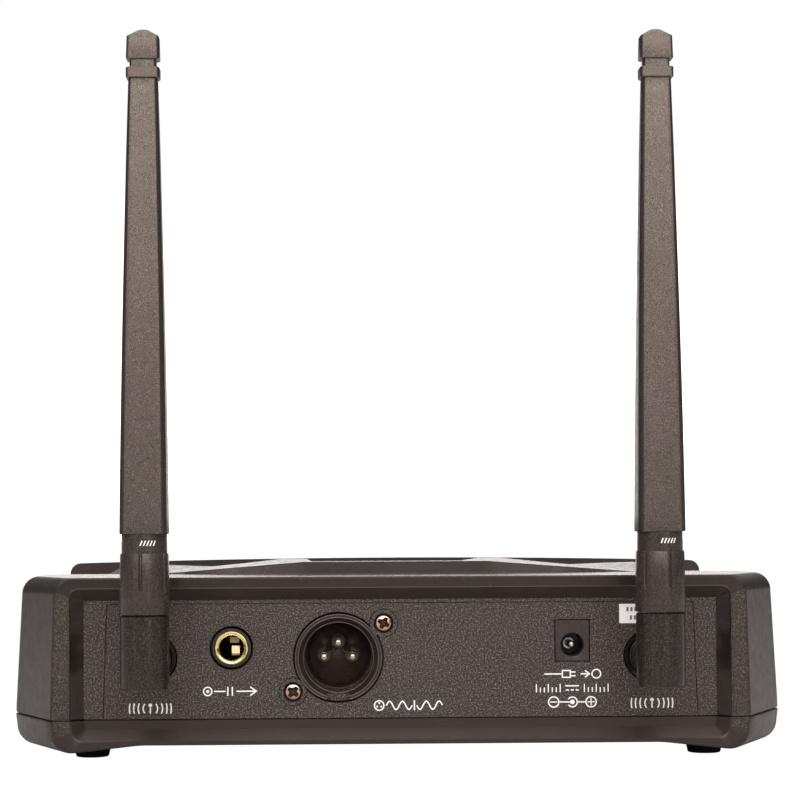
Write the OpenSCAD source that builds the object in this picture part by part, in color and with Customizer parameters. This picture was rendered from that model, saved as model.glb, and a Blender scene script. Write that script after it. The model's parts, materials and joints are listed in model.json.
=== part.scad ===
// Half-rack wireless microphone receiver: two-part plastic casing, separate front and rear
// panels, upside-down main board that carries the sockets, and two swivelling antennas.
// +Z is up, the front faces -Y, the socket panel faces +Y. The feet stand on Z = 0.

/* [Casing] */
// Width of the casing at its widest, where the two covers meet
casing_w = 210.4; // [206:0.2:211]
// Depth of the casing from the rear rim to the front panel
casing_d = 150; // [146:1:160]
// Height of the flat top above the table
casing_top = 48.9; // [48:0.1:50]
// Height of the joint between the two covers
split_z = 11.55; // [10.5:0.05:12]
// Thickness of the plastic walls
wall = 2.2; // [1.8:0.1:2.4]

/* [Rear panel] */
// Width of the socket panel at its top edge
panel_w = 155; // [150:0.5:157]
// Depth of the recess that the socket panel sits in
recess_d = 3; // [3:0.25:4]
// Height of the two antenna sockets
antenna_z = 27.5; // [26:0.25:29]
// Distance between the two antenna sockets
antenna_spacing = 131.6; // [128:0.2:134]

/* [Antennas] */
// Overall height of one antenna
antenna_h = 168.7; // [140:0.1:200]
// Width of the whip at its foot
whip_foot_w = 12.1; // [11:0.1:13]
// Width of the whip at its tip
whip_tip_w = 7.5; // [6:0.1:9]

/* [Front panel] */
// Width of the front panel
front_w = 211.6; // [210:0.2:214]
// Height of the front panel's top edge in the middle
front_mid_z = 51.95; // [51.8:0.05:53]
// Diameter of a volume knob
knob_dia = 17; // [14:0.5:20]

/* [Hidden] */
$fn = 64;
eps = 0.01;

// Colours
shell_grey = [0.22, 0.20, 0.19];
panel_grey = [0.19, 0.17, 0.16];
rubber_black = [0.05, 0.05, 0.05];
antenna_black = [0.17, 0.15, 0.14];
gloss_black = [0.03, 0.03, 0.035];
board_green = [0.07, 0.25, 0.14];
steel = [0.72, 0.73, 0.75];
copper = [0.78, 0.55, 0.42];
gold = [0.83, 0.66, 0.32];
nickel = [0.62, 0.58, 0.52];

// Casing outline. Depths are measured forwards from the rear rim.
rear_draft = 0.9;
rim_half = 91.9;
flare_d = 27;
side_draft = 1.7;
flat_d = 48;
top_fall = 1.9;
base_z = 3.0;
top_r = 4.8;
base_r = 5.2;
rim_top_r = 4.6;
slice = 0.02;
reveal = 0.3;
reveal_d = 0.7;

// Recess in the rear face
recess_half = 83.6;
recess_top = 42.9;
recess_base = 8.9;
recess_rim_half = 86.8;
recess_rim_top = 45.7;
recess_rim_base = 6.2;
recess_r = 2.6;

// Underside: a raised middle between two side rails
rail_half = 86;
rail_slope = 17;
belly_z = 4.9;
rail_run = rail_slope / (belly_z - base_z);
floor_z = 7.2;

// Front panel
front_d = casing_d + 5;
front_plate = 2.5;
front_side_z = 50.6;
front_base_z = 2.4;
front_r = 3.5;
lip_half = 99.6;
lip_d = casing_d - 4;

// Knobs and keys
knob_x = 62;
knob_z = 28;
knob_d0 = front_d + 1;
knob_len = 12;
shaft_dia = 6;
running_gap = 0.05;
key_z = 12.5;
key_pitch = 20;
power_x = -88;
power_dia = 11;
ir_x = 88;
lcd_half = 38.5;
lcd_z0 = 20.5;
lcd_z1 = 42;

// Antennas
axis_d = -16.1;
elbow_dia = 12.5;
collar_dia = 12.85;
collar_top_dia = 12.35;
elbow_below = 6.7;
elbow_h = 18.9;
joint_gap = 0.2;
collar_h = 15.6;
band_dia = 11.6;
band_h = 4.8;
ring_h = 2.8;
neck_h = 2.1;
cap_h = 7.8;
socket_bore = 8.2;
antenna_x = antenna_spacing / 2;
elbow_z = antenna_z - elbow_below;
collar_z = elbow_z + elbow_h + joint_gap;
band_z = collar_z + collar_h;
whip_z = band_z + band_h;
cap_z = elbow_z + antenna_h - cap_h;
neck_z = cap_z - neck_h;
ring_z = neck_z - ring_h;
whip_h = ring_z - whip_z;

// The knobs in front and the antennas behind set the middle of the whole object
rear_y = (knob_d0 + knob_len - (collar_dia / 2 - axis_d)) / 2;

// Sockets on the rear panel
panel_d = recess_d;
panel_t = wall;
panel_flange = 1.2;
panel_top = 41.8;
panel_gap = 0.15;
panel_taper = 1.0;
panel_corner = 1.0;
xlr_x = 16.5;
xlr_z = 27.5;
xlr_hole = 24;
xlr_rim = 23.1;
xlr_bore = 18.6;
xlr_depth = 15.5;
xlr_ear_x = 12;
xlr_ear_z = 9;
xlr_ear_r = 3.6;
pin_r = 3.81;
phone_x = 44.7;
phone_z = 30.2;
phone_hole = 11.6;
phone_bushing = 8.8;
phone_bore = 6.5;
dc_x = -45.4;
dc_z = 30.5;
dc_w = 9.0;
dc_z0 = 26.2;

// Boards
board_z = 37.0;
board_t = 1.6;
board_half = 78;
board_d0 = 14;
board_d1 = 95;
boss_x = 70;
boss_d = [34, 88];
ceiling_z = casing_top - wall;
front_ceiling = ceiling_z - top_fall;
face_board_d = 141;
screw_x = 92;
screw_d = [44, 118];
foot_x = 83.5;
foot_d = [22, 134];
post_x = 93;
post_z = [13, 41];

function arc(cx, cz, r, a0, a1, n) =
    [for (i = [0:n]) let (a = a0 + (a1 - a0) * i / n) [cx + r * cos(a), cz + r * sin(a)]];

// A rod that runs forwards from depth d
module rod(x, z, d, len, dia) {
    translate([x, rear_y - d, z]) rotate([90, 0, 0]) cylinder(h = len, d = dia);
}

// A cone that runs forwards from depth d
module taper(x, z, d, len, dia0, dia1) {
    translate([x, rear_y - d, z]) rotate([90, 0, 0]) cylinder(h = len, d1 = dia0, d2 = dia1);
}

// A box between two depths
module block(x0, x1, z0, z1, d0, d1) {
    translate([x0, rear_y - d1, z0]) cube([x1 - x0, d1 - d0, z1 - z0]);
}

// A flat outline in X and Z, extruded between two depths
module plate(d0, d1) {
    translate([0, rear_y - d0, 0]) rotate([90, 0, 0]) linear_extrude(d1 - d0) children();
}

module round_rect(x0, x1, z0, z1, r) {
    translate([x0 + r, z0]) square([x1 - x0 - 2 * r, z1 - z0]);
    translate([x0, z0 + r]) square([x1 - x0, z1 - z0 - 2 * r]);
    for (x = [x0 + r, x1 - r], z = [z0 + r, z1 - r]) translate([x, z]) circle(r = r);
}

// One thin cross-section of the casing, drawn in by inset
module casing_slice(d, half, draft, r_top, inset, fall = 0) {
    for (s = [-1, 1]) {
        rod_r = max(r_top - inset, 0.6);
        base_rod = max(base_r - inset, 0.6);
        x_top = half - draft - inset - rod_r;
        x_base = half - inset - base_rod - 0.4;
        top_at = casing_top - fall - inset - rod_r;
        base_at = base_z + inset + base_rod;
        translate([s * x_top, rear_y - d, top_at]) rotate([90, 0, 0]) cylinder(h = slice, r = rod_r, $fn = 32);
        translate([s * x_base, rear_y - d, base_at]) rotate([90, 0, 0]) cylinder(h = slice, r = base_rod, $fn = 32);
        translate([s * (half - inset) - slice / 2, rear_y - d - slice, split_z - 0.5]) cube([slice, slice, 1]);
    }
}

// The casing's outer form; with an inset it is the hollow inside
module casing_form(inset, rear_d, rear_half) {
    hull() {
        casing_slice(rear_d, rear_half, rear_draft, rim_top_r, inset);
        casing_slice(flare_d, casing_w / 2, side_draft, top_r, inset);
        casing_slice(casing_d - slice, casing_w / 2, side_draft, top_r, inset, top_fall);
        // the top stays level as far forward as this edge, then falls towards the front
        edge = casing_w / 2 - side_draft - top_r - 1;
        translate([-edge, rear_y - flat_d - slice, casing_top - inset - 0.5]) cube([2 * edge, slice, 0.5]);
    }
}

module casing_hollow() {
    hollow_d = recess_d + wall;
    hollow_half = rim_half + (casing_w / 2 - rim_half) * hollow_d / flare_d - 0.6;
    intersection() {
        casing_form(wall, hollow_d, hollow_half);
        block(-casing_w, casing_w, floor_z, ceiling_z, hollow_d, casing_d);
    }
    // the front end stays open for the front panel's lip
    block(-lip_half - 0.6, lip_half + 0.6, floor_z, front_ceiling, casing_d - 6, casing_d + 1);
}

// Sloped recess of the rear face, from the rim in to the panel's plane
module rear_recess() {
    hull() {
        block(-recess_half, recess_half, recess_base, recess_top, recess_d - slice, recess_d);
        for (x = [-1, 1] * (recess_rim_half - recess_r), z = [recess_rim_base + recess_r, recess_rim_top - recess_r])
            rod(x, z, -1, 1, 2 * recess_r, $fn = 32);
    }
}

module panel_outline(gap, top) {
    half_top = panel_w / 2 + gap;
    half_base = half_top + panel_taper;
    corner = panel_corner + gap;
    polygon(concat(
        [[-half_base, split_z - eps], [half_base, split_z - eps]],
        arc(half_top - corner, top - corner, corner, 0, 90, 6),
        arc(corner - half_top, top - corner, corner, 90, 180, 6)));
}

// One facet block of the top relief: corners given as [x, depth, z], carried down into the top
module relief_block(side, corners) {
    hull() for (p = corners, z = [p[2] - 0.1, casing_top - 3.2])
        translate([side * p[0] - 0.05, rear_y - p[1] - 0.1, z]) cube(0.1);
}

// Low raised shape on the top: a flat middle with a ridge on each side, and two swept wings
module top_relief() {
    front_end = casing_d - 0.1;
    mid = 26;
    mid_d = 45;
    crest_d = 85;
    mid_z = casing_top + 3.3;
    translate([-mid, rear_y, 0]) rotate([90, 0, 90]) linear_extrude(2 * mid)
        polygon([[-front_end, 46], [-mid_d, 46], [-mid_d, mid_z], [-crest_d, mid_z - 0.6], [-front_end, mid_z - 1.3]]);
    for (s = [-1, 1]) {
        relief_block(s, [[mid, mid_d, mid_z], [mid, crest_d, mid_z + 0.4], [33.5, crest_d, mid_z + 0.4],
            [mid, front_end, mid_z - 1.2], [33.5, front_end, mid_z - 1.3],
            [55, crest_d, 50.35], [55, front_end, 49.2], [68.5, mid_d, casing_top]]);
        relief_block(s, [[68.5, mid_d, casing_top], [55, crest_d, 50.35], [67, crest_d, 50.9], [74, crest_d, 51.05],
            [82.3, crest_d, 50.1], [85.9, crest_d, 48.3], [55, front_end, 49.2], [67, front_end, 49.6],
            [74, front_end, 49.6], [82.3, front_end, 48.7], [85.9, front_end, casing_top - top_fall]]);
    }
}

module top_cover() {
    color(shell_grey) difference() {
        union() {
            difference() {
                union() {
                    casing_form(0, 0, rim_half);
                    top_relief();
                }
                casing_hollow();
            }
            for (s = [-1, 1], d = boss_d)
                translate([s * boss_x, rear_y - d, board_z + board_t]) cylinder(h = ceiling_z - board_z, d = 6.4);
            for (s = [-1, 1], d = screw_d)
                translate([s * screw_x, rear_y - d, split_z]) cylinder(h = ceiling_z - split_z + 0.5, d = 7.5);
        }
        rear_recess();
        plate(recess_d - 1, recess_d + wall + 1) panel_outline(panel_gap, panel_top + panel_gap);
        translate([-casing_w, rear_y - 2 * casing_d, -1]) cube([2 * casing_w, 3 * casing_d, split_z + 1]);
        for (s = [-1, 1], d = boss_d)
            translate([s * boss_x, rear_y - d, board_z]) cylinder(h = 8, d = 3.0);
        for (s = [-1, 1], d = screw_d)
            translate([s * screw_x, rear_y - d, split_z - 1]) cylinder(h = 16, d = 3.6);
    }
}

module bottom_cover() {
    color(shell_grey) difference() {
        union() {
            difference() {
                casing_form(0, 0, rim_half);
                casing_hollow();
            }
            for (s = [-1, 1], d = screw_d)
                translate([s * screw_x, rear_y - d, floor_z - 1]) cylinder(h = split_z - floor_z + 1, d = 8.5);
        }
        rear_recess();
        translate([-casing_w, rear_y - 2 * casing_d, split_z]) cube([2 * casing_w, 3 * casing_d, 60]);
        // raised belly between the side rails
        plate(-1, casing_d + 1) polygon([[-rail_half - rail_run, base_z - 1], [rail_half + rail_run, base_z - 1],
            [rail_half - rail_slope, belly_z], [rail_slope - rail_half, belly_z]]);
        // shadow line round the joint
        difference() {
            block(-casing_w, casing_w, split_z - reveal, split_z + 1, -1, casing_d + 1);
            casing_form(reveal_d, reveal_d, rim_half);
        }
        block(-recess_half - 2, recess_half + 2, split_z - reveal, split_z + 1, -1, recess_d + reveal_d);
        for (s = [-1, 1], d = screw_d) translate([s * screw_x, rear_y - d, 0]) {
            cylinder(h = 20, d = 4.2);
            cylinder(h = base_z + 2.8, d = 7);
        }
        for (s = [-1, 1], d = foot_d)
            translate([s * foot_x, rear_y - d, 0]) cylinder(h = base_z + 1.4, d = 11.2);
    }
}

module rear_panel() {
    flange_d = panel_d + panel_t;
    color(panel_grey) difference() {
        union() {
            plate(panel_d, flange_d + 0.5) panel_outline(0, panel_top);
            plate(flange_d + 0.05, flange_d + panel_flange) panel_outline(2, panel_top + 2);
        }
        block(-casing_w, casing_w, 0, split_z + 0.05, 0, 20);
        for (s = [-1, 1]) rod(s * antenna_x, antenna_z, 0, 12, 13.7);
        rod(xlr_x, xlr_z, 0, 12, xlr_hole);
        for (s = [-1, 1]) rod(xlr_x - s * xlr_ear_x, xlr_z + s * xlr_ear_z, 0, 12, 2 * xlr_ear_r + 0.3);
        rod(phone_x, phone_z, 0, 12, phone_hole);
        block(dc_x - dc_w / 2 - 0.2, dc_x + dc_w / 2 + 0.2, dc_z0 - 0.2, board_z + 0.2, 0, 12);
    }
}

function front_outline(inset) =
    let (half = front_w / 2 - inset, r = max(front_r - inset, 0.8), base = front_base_z + inset,
        side = front_side_z - inset, mid = front_mid_z - inset, chord = half - r, rise = mid - side,
        big = (chord * chord + rise * rise) / (2 * rise), sweep = asin(chord / big))
    concat(
        arc(half - r, base + r, r, -90, 0, 8),
        arc(half - r, side - r, r, 0, 90 - sweep, 8),
        arc(0, mid - big, big, 90 - sweep, 90 + sweep, 24),
        arc(r - half, side - r, r, 90 + sweep, 180, 8),
        arc(r - half, base + r, r, 180, 270, 8));

module front_panel() {
    back = front_d - front_plate;
    color(shell_grey) difference() {
        union() {
            difference() {
                plate(casing_d + 0.05, front_d) polygon(front_outline(0));
                plate(casing_d - 1, back) round_rect(-101.8, 101.8, 6, front_ceiling + 0.6, 3.2);
            }
            difference() {
                plate(lip_d, back + eps) round_rect(-lip_half, lip_half, floor_z + 0.4, front_ceiling - 0.4, 3);
                plate(lip_d - 1, back) round_rect(1.5 - lip_half, lip_half - 1.5, floor_z + 1.9, front_ceiling - 1.5, 2);
            }
            for (s = [-1, 1], z = post_z) rod(s * post_x, z, face_board_d + 1.6, back - face_board_d - 1.6 + eps, 6);
        }
        // stepped seat for the display window
        plate(front_d - 1.5, front_d + 1) round_rect(-lcd_half - 2, lcd_half + 2, lcd_z0 - 2, lcd_z1 + 2, 2);
        plate(back - 1, front_d + 1) round_rect(-lcd_half, lcd_half, lcd_z0, lcd_z1, 1);
        for (s = [-1, 1]) rod(s * knob_x, knob_z, back - 1, 6, 7.8);
        for (i = [-1:1]) plate(back - 1, front_d + 1)
            round_rect(i * key_pitch - 5.2, i * key_pitch + 5.2, key_z - 2.4, key_z + 2.4, 1.4);
        rod(power_x, knob_z, back - 1, 6, power_dia + 0.4);
        rod(ir_x, knob_z, back - 1, 6, 8.6);
        for (s = [-1, 1], z = [24, 32]) rod(s * 47, z, back - 1, 6, 3.6);
        for (s = [-1, 1], z = post_z) rod(s * post_x, z, face_board_d, 9, 2.3);
    }
}

module rubber_feet() {
    color(rubber_black) for (s = [-1, 1], d = foot_d) translate([s * foot_x, rear_y - d, 0]) {
        cylinder(h = base_z + 0.8, d1 = 8.8, d2 = 10.6);
        translate([0, 0, base_z + 0.8]) cylinder(h = 0.6, d = 10.6);
    }
}

// Screw with a cross recess: head at z = 0, shank upwards
module cross_screw(head_dia, head_h, shank_dia, len) {
    difference() {
        union() {
            translate([0, 0, -head_h]) cylinder(h = head_h * 0.5, d1 = head_dia * 0.7, d2 = head_dia);
            translate([0, 0, -head_h * 0.5]) cylinder(h = head_h * 0.5, d = head_dia);
            cylinder(h = len, d = shank_dia);
        }
        for (a = [0, 90]) rotate(a) translate([-head_dia * 0.3, -head_dia * 0.08, -head_h - 1])
            cube([head_dia * 0.6, head_dia * 0.16, 1 + head_h * 0.7]);
    }
}

module cover_screws() {
    color(steel) for (s = [-1, 1], d = screw_d)
        translate([s * screw_x, rear_y - d, base_z + 2.8]) cross_screw(6, 2.2, 3.5, 19);
}

module board_screws() {
    color(steel) for (s = [-1, 1], d = boss_d)
        translate([s * boss_x, rear_y - d, board_z]) cross_screw(5.5, 2, 2.9, 7);
}

module display_screws() {
    color(steel) for (s = [-1, 1], z = post_z)
        translate([s * post_x, rear_y - face_board_d, z]) rotate([90, 0, 0]) cross_screw(5, 1.8, 2.2, 8);
}

module main_board() {
    color(board_green) difference() {
        translate([-board_half, rear_y - board_d1, board_z]) cube([2 * board_half, board_d1 - board_d0, board_t]);
        for (s = [-1, 1], d = boss_d) translate([s * boss_x, rear_y - d, board_z - 1]) cylinder(h = 4, d = 3.2);
    }
}

module display_board() {
    color(board_green) difference() {
        plate(face_board_d, face_board_d + 1.6) round_rect(-96.5, 96.5, 10, 42.8, 1);
        for (s = [-1, 1], z = post_z) rod(s * post_x, z, face_board_d - 1, 4, 2.6);
    }
}

module lcd_module() {
    lcd_front = front_d - front_plate - 0.2;
    color(steel) union() {
        block(-lcd_half + 0.5, lcd_half - 0.5, lcd_z0 + 0.5, lcd_z1 - 0.5, lcd_front - 4, lcd_front);
        for (x = [-1, 1] * 34, z = [24, 39]) rod(x, z, face_board_d + 1.6, lcd_front - 3 - face_board_d - 1.6, 2.5);
    }
}

module display_window() {
    color([0.10, 0.12, 0.14, 0.6]) plate(front_d - 1.5, front_d - 0.1)
        round_rect(-lcd_half - 1.9, lcd_half + 1.9, lcd_z0 - 1.9, lcd_z1 + 1.9, 1.9);
}

module ir_window() {
    color([0.15, 0.01, 0.02]) union() {
        rod(ir_x, knob_z, front_d - front_plate - 0.8, front_plate + 1.1, 8);
        rod(ir_x, knob_z, front_d - front_plate - 0.8, 0.8, 10);
    }
}

module led_lenses() {
    color([0.85, 0.80, 0.70]) for (s = [-1, 1], z = [24, 32]) {
        rod(s * 47, z, face_board_d + 2, front_d + 0.2 - face_board_d - 2, 3);
        rod(s * 47, z, face_board_d + 1.6, 1, 4);
    }
}

// Flat cable from the main board down to the display board, with a socket at each end
module ribbon_cable() {
    t = 0.8;
    route = [[89, 35.4], [118, 34], [136, 27], [139.5, 26]];
    color([0.75, 0.76, 0.78]) union() {
        translate([-13, rear_y, 0]) rotate([90, 0, 90]) linear_extrude(26)
            polygon(concat([for (p = route) [-p[0], p[1]]], [for (i = [3:-1:0]) [-route[i][0], route[i][1] - t]]));
        block(-14, 14, 33, board_z, 87.5, 91.5);
        block(-14, 14, 24, 28, 138.5, face_board_d);
    }
}

module rf_shields() {
    color(steel) for (s = [-1, 1]) translate([s * 47, rear_y - 64, board_z - 6]) {
        difference() {
            translate([-17, -19, 0]) cube([34, 38, 6]);
            translate([-16.5, -18.5, 0.4]) cube([33, 37, 6]);
        }
    }
}

module main_chips() {
    color([0.06, 0.06, 0.06]) for (p = [[0, 52, 12, 12], [0, 74, 10, 8], [20, 46, 8, 6], [-20, 46, 8, 6]])
        translate([p[0] - p[2] / 2, rear_y - p[1] - p[3] / 2, board_z - 1.6]) cube([p[2], p[3], 1.6]);
}

module capacitors() {
    color([0.12, 0.16, 0.30]) for (p = [[-20, 22, 8], [-20, 33, 8], [-9, 26, 6.3], [-9, 35, 6.3], [-58, 30, 6.3],
            [18, 84, 6.3], [-18, 84, 6.3], [27, 84, 6.3]])
        translate([p[0], rear_y - p[1], board_z - 11]) cylinder(h = 11, d = p[2]);
}

module voltage_regulator() {
    color([0.08, 0.08, 0.08]) translate([-34, rear_y - 30, board_z]) {
        translate([-5, -2.3, -12]) cube([10, 4.6, 9]);
        for (x = [-2.54, 0, 2.54]) translate([x - 0.4, -0.4, -3.1]) cube([0.8, 0.8, 3.1]);
        translate([-5, -3.6, -18]) difference() {
            cube([10, 1.3, 15]);
            translate([5, -1, 3]) rotate([-90, 0, 0]) cylinder(h = 4, d = 3.6);
        }
    }
}

// Male audio socket: rim, deep round well, flange with two ears and a block up to the board
module xlr_shell() {
    rim_d = panel_d - 0.4;
    flange_d = panel_d + panel_t + panel_flange + 0.2;
    well_end = rim_d + xlr_depth;
    color(gloss_black) difference() {
        union() {
            rod(xlr_x, xlr_z, rim_d, flange_d - rim_d + 1, xlr_rim);
            for (s = [-1, 1])
                rod(xlr_x - s * xlr_ear_x, xlr_z + s * xlr_ear_z, panel_d + 0.05, flange_d - panel_d + 1, 2 * xlr_ear_r);
            block(xlr_x - 14.6, xlr_x + 14.6, xlr_z - 13, board_z, flange_d, flange_d + 2.5);
            block(xlr_x - 12.5, xlr_x + 12.5, xlr_z - 12.5, board_z, flange_d, 26.5);
        }
        rod(xlr_x, xlr_z, rim_d - 1, well_end - rim_d + 1, xlr_bore);
        rod(xlr_x, xlr_z, well_end - 0.5, 20, xlr_bore - 0.6);
        taper(xlr_x, xlr_z, rim_d - eps, 1.4, 21, xlr_bore);
        // polarising notch in the rim, and two small side slots
        block(xlr_x - 3.1, xlr_x + 3.1, xlr_z - xlr_rim / 2 - 1, xlr_z - 9, rim_d - 1, rim_d + 2.2);
        for (s = [-1, 1]) block(xlr_x + s * 9.7 - 0.7, xlr_x + s * 9.7 + 0.7, xlr_z - 0.9, xlr_z + 0.9, rim_d + 3, well_end - 1);
        for (s = [-1, 1]) translate([xlr_x - s * xlr_ear_x, rear_y, xlr_z + s * xlr_ear_z]) rotate([90, 0, 0]) {
            cylinder(h = 30, d = 3.1);
            cylinder(h = panel_d + 1.9, d = 5.3);
        }
    }
}

module xlr_insert() {
    face = panel_d - 0.4 + xlr_depth;
    color([0.05, 0.05, 0.05]) difference() {
        union() {
            rod(xlr_x, xlr_z, face, 6.8, xlr_bore - 0.7);
            rod(xlr_x, xlr_z, face - 1.2, 2, 15.6);
            for (a = [0, 90, 180]) rod(xlr_x + pin_r * cos(a), xlr_z + pin_r * sin(a), face - 2, 2, 4.2);
        }
        for (a = [0, 90, 180]) rod(xlr_x + pin_r * cos(a), xlr_z + pin_r * sin(a), face - 3, 20, 2.5);
        for (s = [-1, 1]) block(xlr_x + s * 2.6 - 0.9, xlr_x + s * 2.6 + 0.9, xlr_z + 1.0, xlr_z + 3.2, face - 2, face - 0.4);
    }
}

module xlr_pins() {
    tip = panel_d - 0.4 + 2.6;
    color(steel) for (a = [0, 90, 180]) translate([xlr_x + pin_r * cos(a), 0, xlr_z + pin_r * sin(a)]) {
        rod(0, 0, tip + 0.9, 25, 2.4);
        translate([0, rear_y - tip - 1.2, 0]) sphere(d = 2.4);
    }
}

module xlr_screws() {
    color(copper) for (s = [-1, 1])
        translate([xlr_x - s * xlr_ear_x, rear_y - panel_d - 1.9, xlr_z + s * xlr_ear_z])
            rotate([90, 0, 0]) cross_screw(4.7, 1.7, 2.9, 2.9);
}

module phone_jack_body() {
    color([0.07, 0.07, 0.07]) difference() {
        union() {
            rod(phone_x, phone_z, panel_d + 0.6, 5, 11.2);
            block(phone_x - 7.6, phone_x + 7.6, phone_z - 6.8, board_z, 8, 37);
        }
        rod(phone_x, phone_z, panel_d, 9, phone_bushing + 0.1);
        rod(phone_x, phone_z, panel_d + 8.5, 24.5, 7.4);
        block(phone_x - 2, phone_x + 2, phone_z - 5.2, phone_z, 17, 34);
    }
}

module phone_jack_bushing() {
    color(gold) difference() {
        union() {
            rod(phone_x, phone_z, panel_d - 0.3, 9.2, phone_bushing);
        }
        rod(phone_x, phone_z, panel_d - 1, 12, phone_bore);
        taper(phone_x, phone_z, panel_d - 0.3 - eps, 0.6, phone_bore + 1.2, phone_bore);
    }
}

// Spring leaf that presses on the plug, and its two tails
module phone_jack_contacts() {
    color(gold) translate([phone_x - 1.5, rear_y, phone_z]) rotate([90, 0, 90]) linear_extrude(3)
        polygon([[-18, -4.6], [-22, -3.9], [-26, -2.4], [-28, -2.4], [-30, -3.8], [-33, -4.4],
            [-33, -4.9], [-30, -4.3], [-28, -2.9], [-26, -2.9], [-22, -4.4], [-18, -5.1]]);
}

module dc_jack_housing() {
    color([0.10, 0.10, 0.10]) difference() {
        union() {
            block(dc_x - dc_w / 2, dc_x + dc_w / 2, dc_z0, board_z, panel_d + 0.3, 18.5);
            block(dc_x - dc_w / 2 - 0.8, dc_x + dc_w / 2 + 0.8, dc_z0 - 0.8, board_z, 8, 9.5);
        }
        rod(dc_x, dc_z, panel_d - 1, 11.5, 6.2);
        rod(dc_x, dc_z, panel_d + 9, 20, 2.05);
    }
}

module dc_jack_pin() {
    color(steel) union() {
        rod(dc_x, dc_z, panel_d + 2.4, 13.8, 2);
        rod(dc_x, dc_z, panel_d + 8.9, 1.5, 3);
        translate([dc_x, rear_y - panel_d - 2.4, dc_z]) sphere(d = 2);
    }
}

module dc_jack_contacts() {
    color(steel) for (p = [[-4.9, 12], [-4.9, 15.5], [4.7, 13.5]])
        translate([dc_x + p[0], rear_y - p[1], board_z - 7]) cube([0.2, 2.2, 7]);
}

module both_sides() {
    for (s = [-1, 1]) translate([s * antenna_x, 0, 0]) children();
}

module antenna_jacks() {
    color(nickel) both_sides() difference() {
        union() {
            rod(0, antenna_z, panel_d + 0.4, 5, 10.3);
            block(-7, 7, antenna_z - 7, board_z, 8, 19);
        }
        rod(0, antenna_z, 0, 13.5, socket_bore);
        rod(0, antenna_z, 13, 20, 5);
    }
}

module jack_washers() {
    color(copper) both_sides() difference() {
        rod(0, antenna_z, panel_d + 1.2, 2.6, 13.2);
        rod(0, antenna_z, panel_d, 6, 10.4);
    }
}

module jack_insulators() {
    color([0.9, 0.9, 0.88]) both_sides() difference() {
        rod(0, antenna_z, 13.5, 7, 4.9);
        rod(0, antenna_z, 12, 12, 2.5);
    }
}

module jack_contacts() {
    color(gold) both_sides() difference() {
        rod(0, antenna_z, 12.8, 9, 2.4);
        rod(0, antenna_z, 12, 8, 1.5);
    }
}

// Swivelling plug of one antenna: a sleeve that turns in the socket, and its centre pin
module antenna_plug(s) {
    color(nickel) translate([s * antenna_x, 0, 0]) {
        difference() {
            rod(0, antenna_z, axis_d + 3, 13 - axis_d - 3, socket_bore - 2 * running_gap);
            rod(0, antenna_z, 5, 9, 6.6);
        }
        rod(0, antenna_z, 4.5, 13.5, 1.3);
    }
}

module antenna_elbow(s) {
    color(antenna_black) difference() {
        union() {
            translate([s * antenna_x, rear_y - axis_d, elbow_z + 0.5]) cylinder(h = elbow_h - 0.5, d = elbow_dia);
            translate([s * antenna_x, rear_y - axis_d, elbow_z]) cylinder(h = 0.5, d1 = elbow_dia - 1, d2 = elbow_dia);
            rod(s * antenna_x, antenna_z, axis_d, 12.5, 10.6);
        }
        rod(s * antenna_x, antenna_z, axis_d + 3, 20, socket_bore - 2 * running_gap);
        translate([s * antenna_x, rear_y - axis_d, elbow_z + elbow_h - 4]) cylinder(h = 5, d = 7.6);
    }
}

// Grip collar with six blind grooves and a spigot that fits in the elbow
module antenna_collar(s) {
    color(antenna_black) translate([s * antenna_x, rear_y - axis_d, collar_z]) difference() {
        union() {
            cylinder(h = collar_h, d1 = collar_dia, d2 = collar_top_dia);
            translate([0, 0, -joint_gap - 3.6]) cylinder(h = 4, d = 7.5);
        }
        for (i = [0:5]) rotate(i * 60 + (s > 0 ? 85.3 : 105)) translate([collar_top_dia / 2 + 0.05, 0, 6.2]) {
            cylinder(h = collar_h, d = 0.9);
            sphere(d = 0.9);
        }
        translate([0, 0, collar_h - 4]) cylinder(h = 5, d = 8);
    }
}

module antenna_band(s) {
    color(antenna_black) translate([s * antenna_x, rear_y - axis_d, band_z]) difference() {
        union() {
            cylinder(h = band_h, d = band_dia);
            translate([0, 0, -3.8]) cylinder(h = 4, d = 7.9);
            cylinder(h = band_h + 6, d = 6.5);
        }
        translate([0, 0, -2]) cylinder(h = band_h + 12, d = 2.6);
    }
}

// Half of the whip's flattened section at a height: a rounded slab
function whip_w(t) = whip_tip_w + (whip_foot_w - whip_tip_w) * (1.56 * t - 0.56 * t * t);
function whip_t(t) = 4.6 + 6.4 * t;

module whip_slice(t) {
    w = whip_w(t);
    th = whip_t(t);
    r = min(0.28 * th, 0.2 * w);
    for (x = [-1, 1] * (w / 2 - r), y = [-1, 1] * (th / 2 - r))
        translate([x, y, whip_h * (1 - t)]) cylinder(h = slice, r = r, $fn = 24);
}

module antenna_whip(s) {
    steps = 5;
    color(antenna_black) translate([s * antenna_x, rear_y - axis_d, whip_z]) difference() {
        union() {
            for (i = [0:steps - 1]) hull() {
                whip_slice(i / steps);
                whip_slice((i + 1) / steps);
            }
            translate([0, 0, whip_h]) linear_extrude(ring_h) square([8.6, 5.8], center = true);
        }
        translate([0, 0, -1]) cylinder(h = whip_h - 6, d = 2.6);
        translate([0, 0, -1]) cylinder(h = 7.2, d = 6.6);
        translate([0, 0, whip_h + ring_h - 3]) linear_extrude(4) square([5, 2.4], center = true);
    }
}

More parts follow.
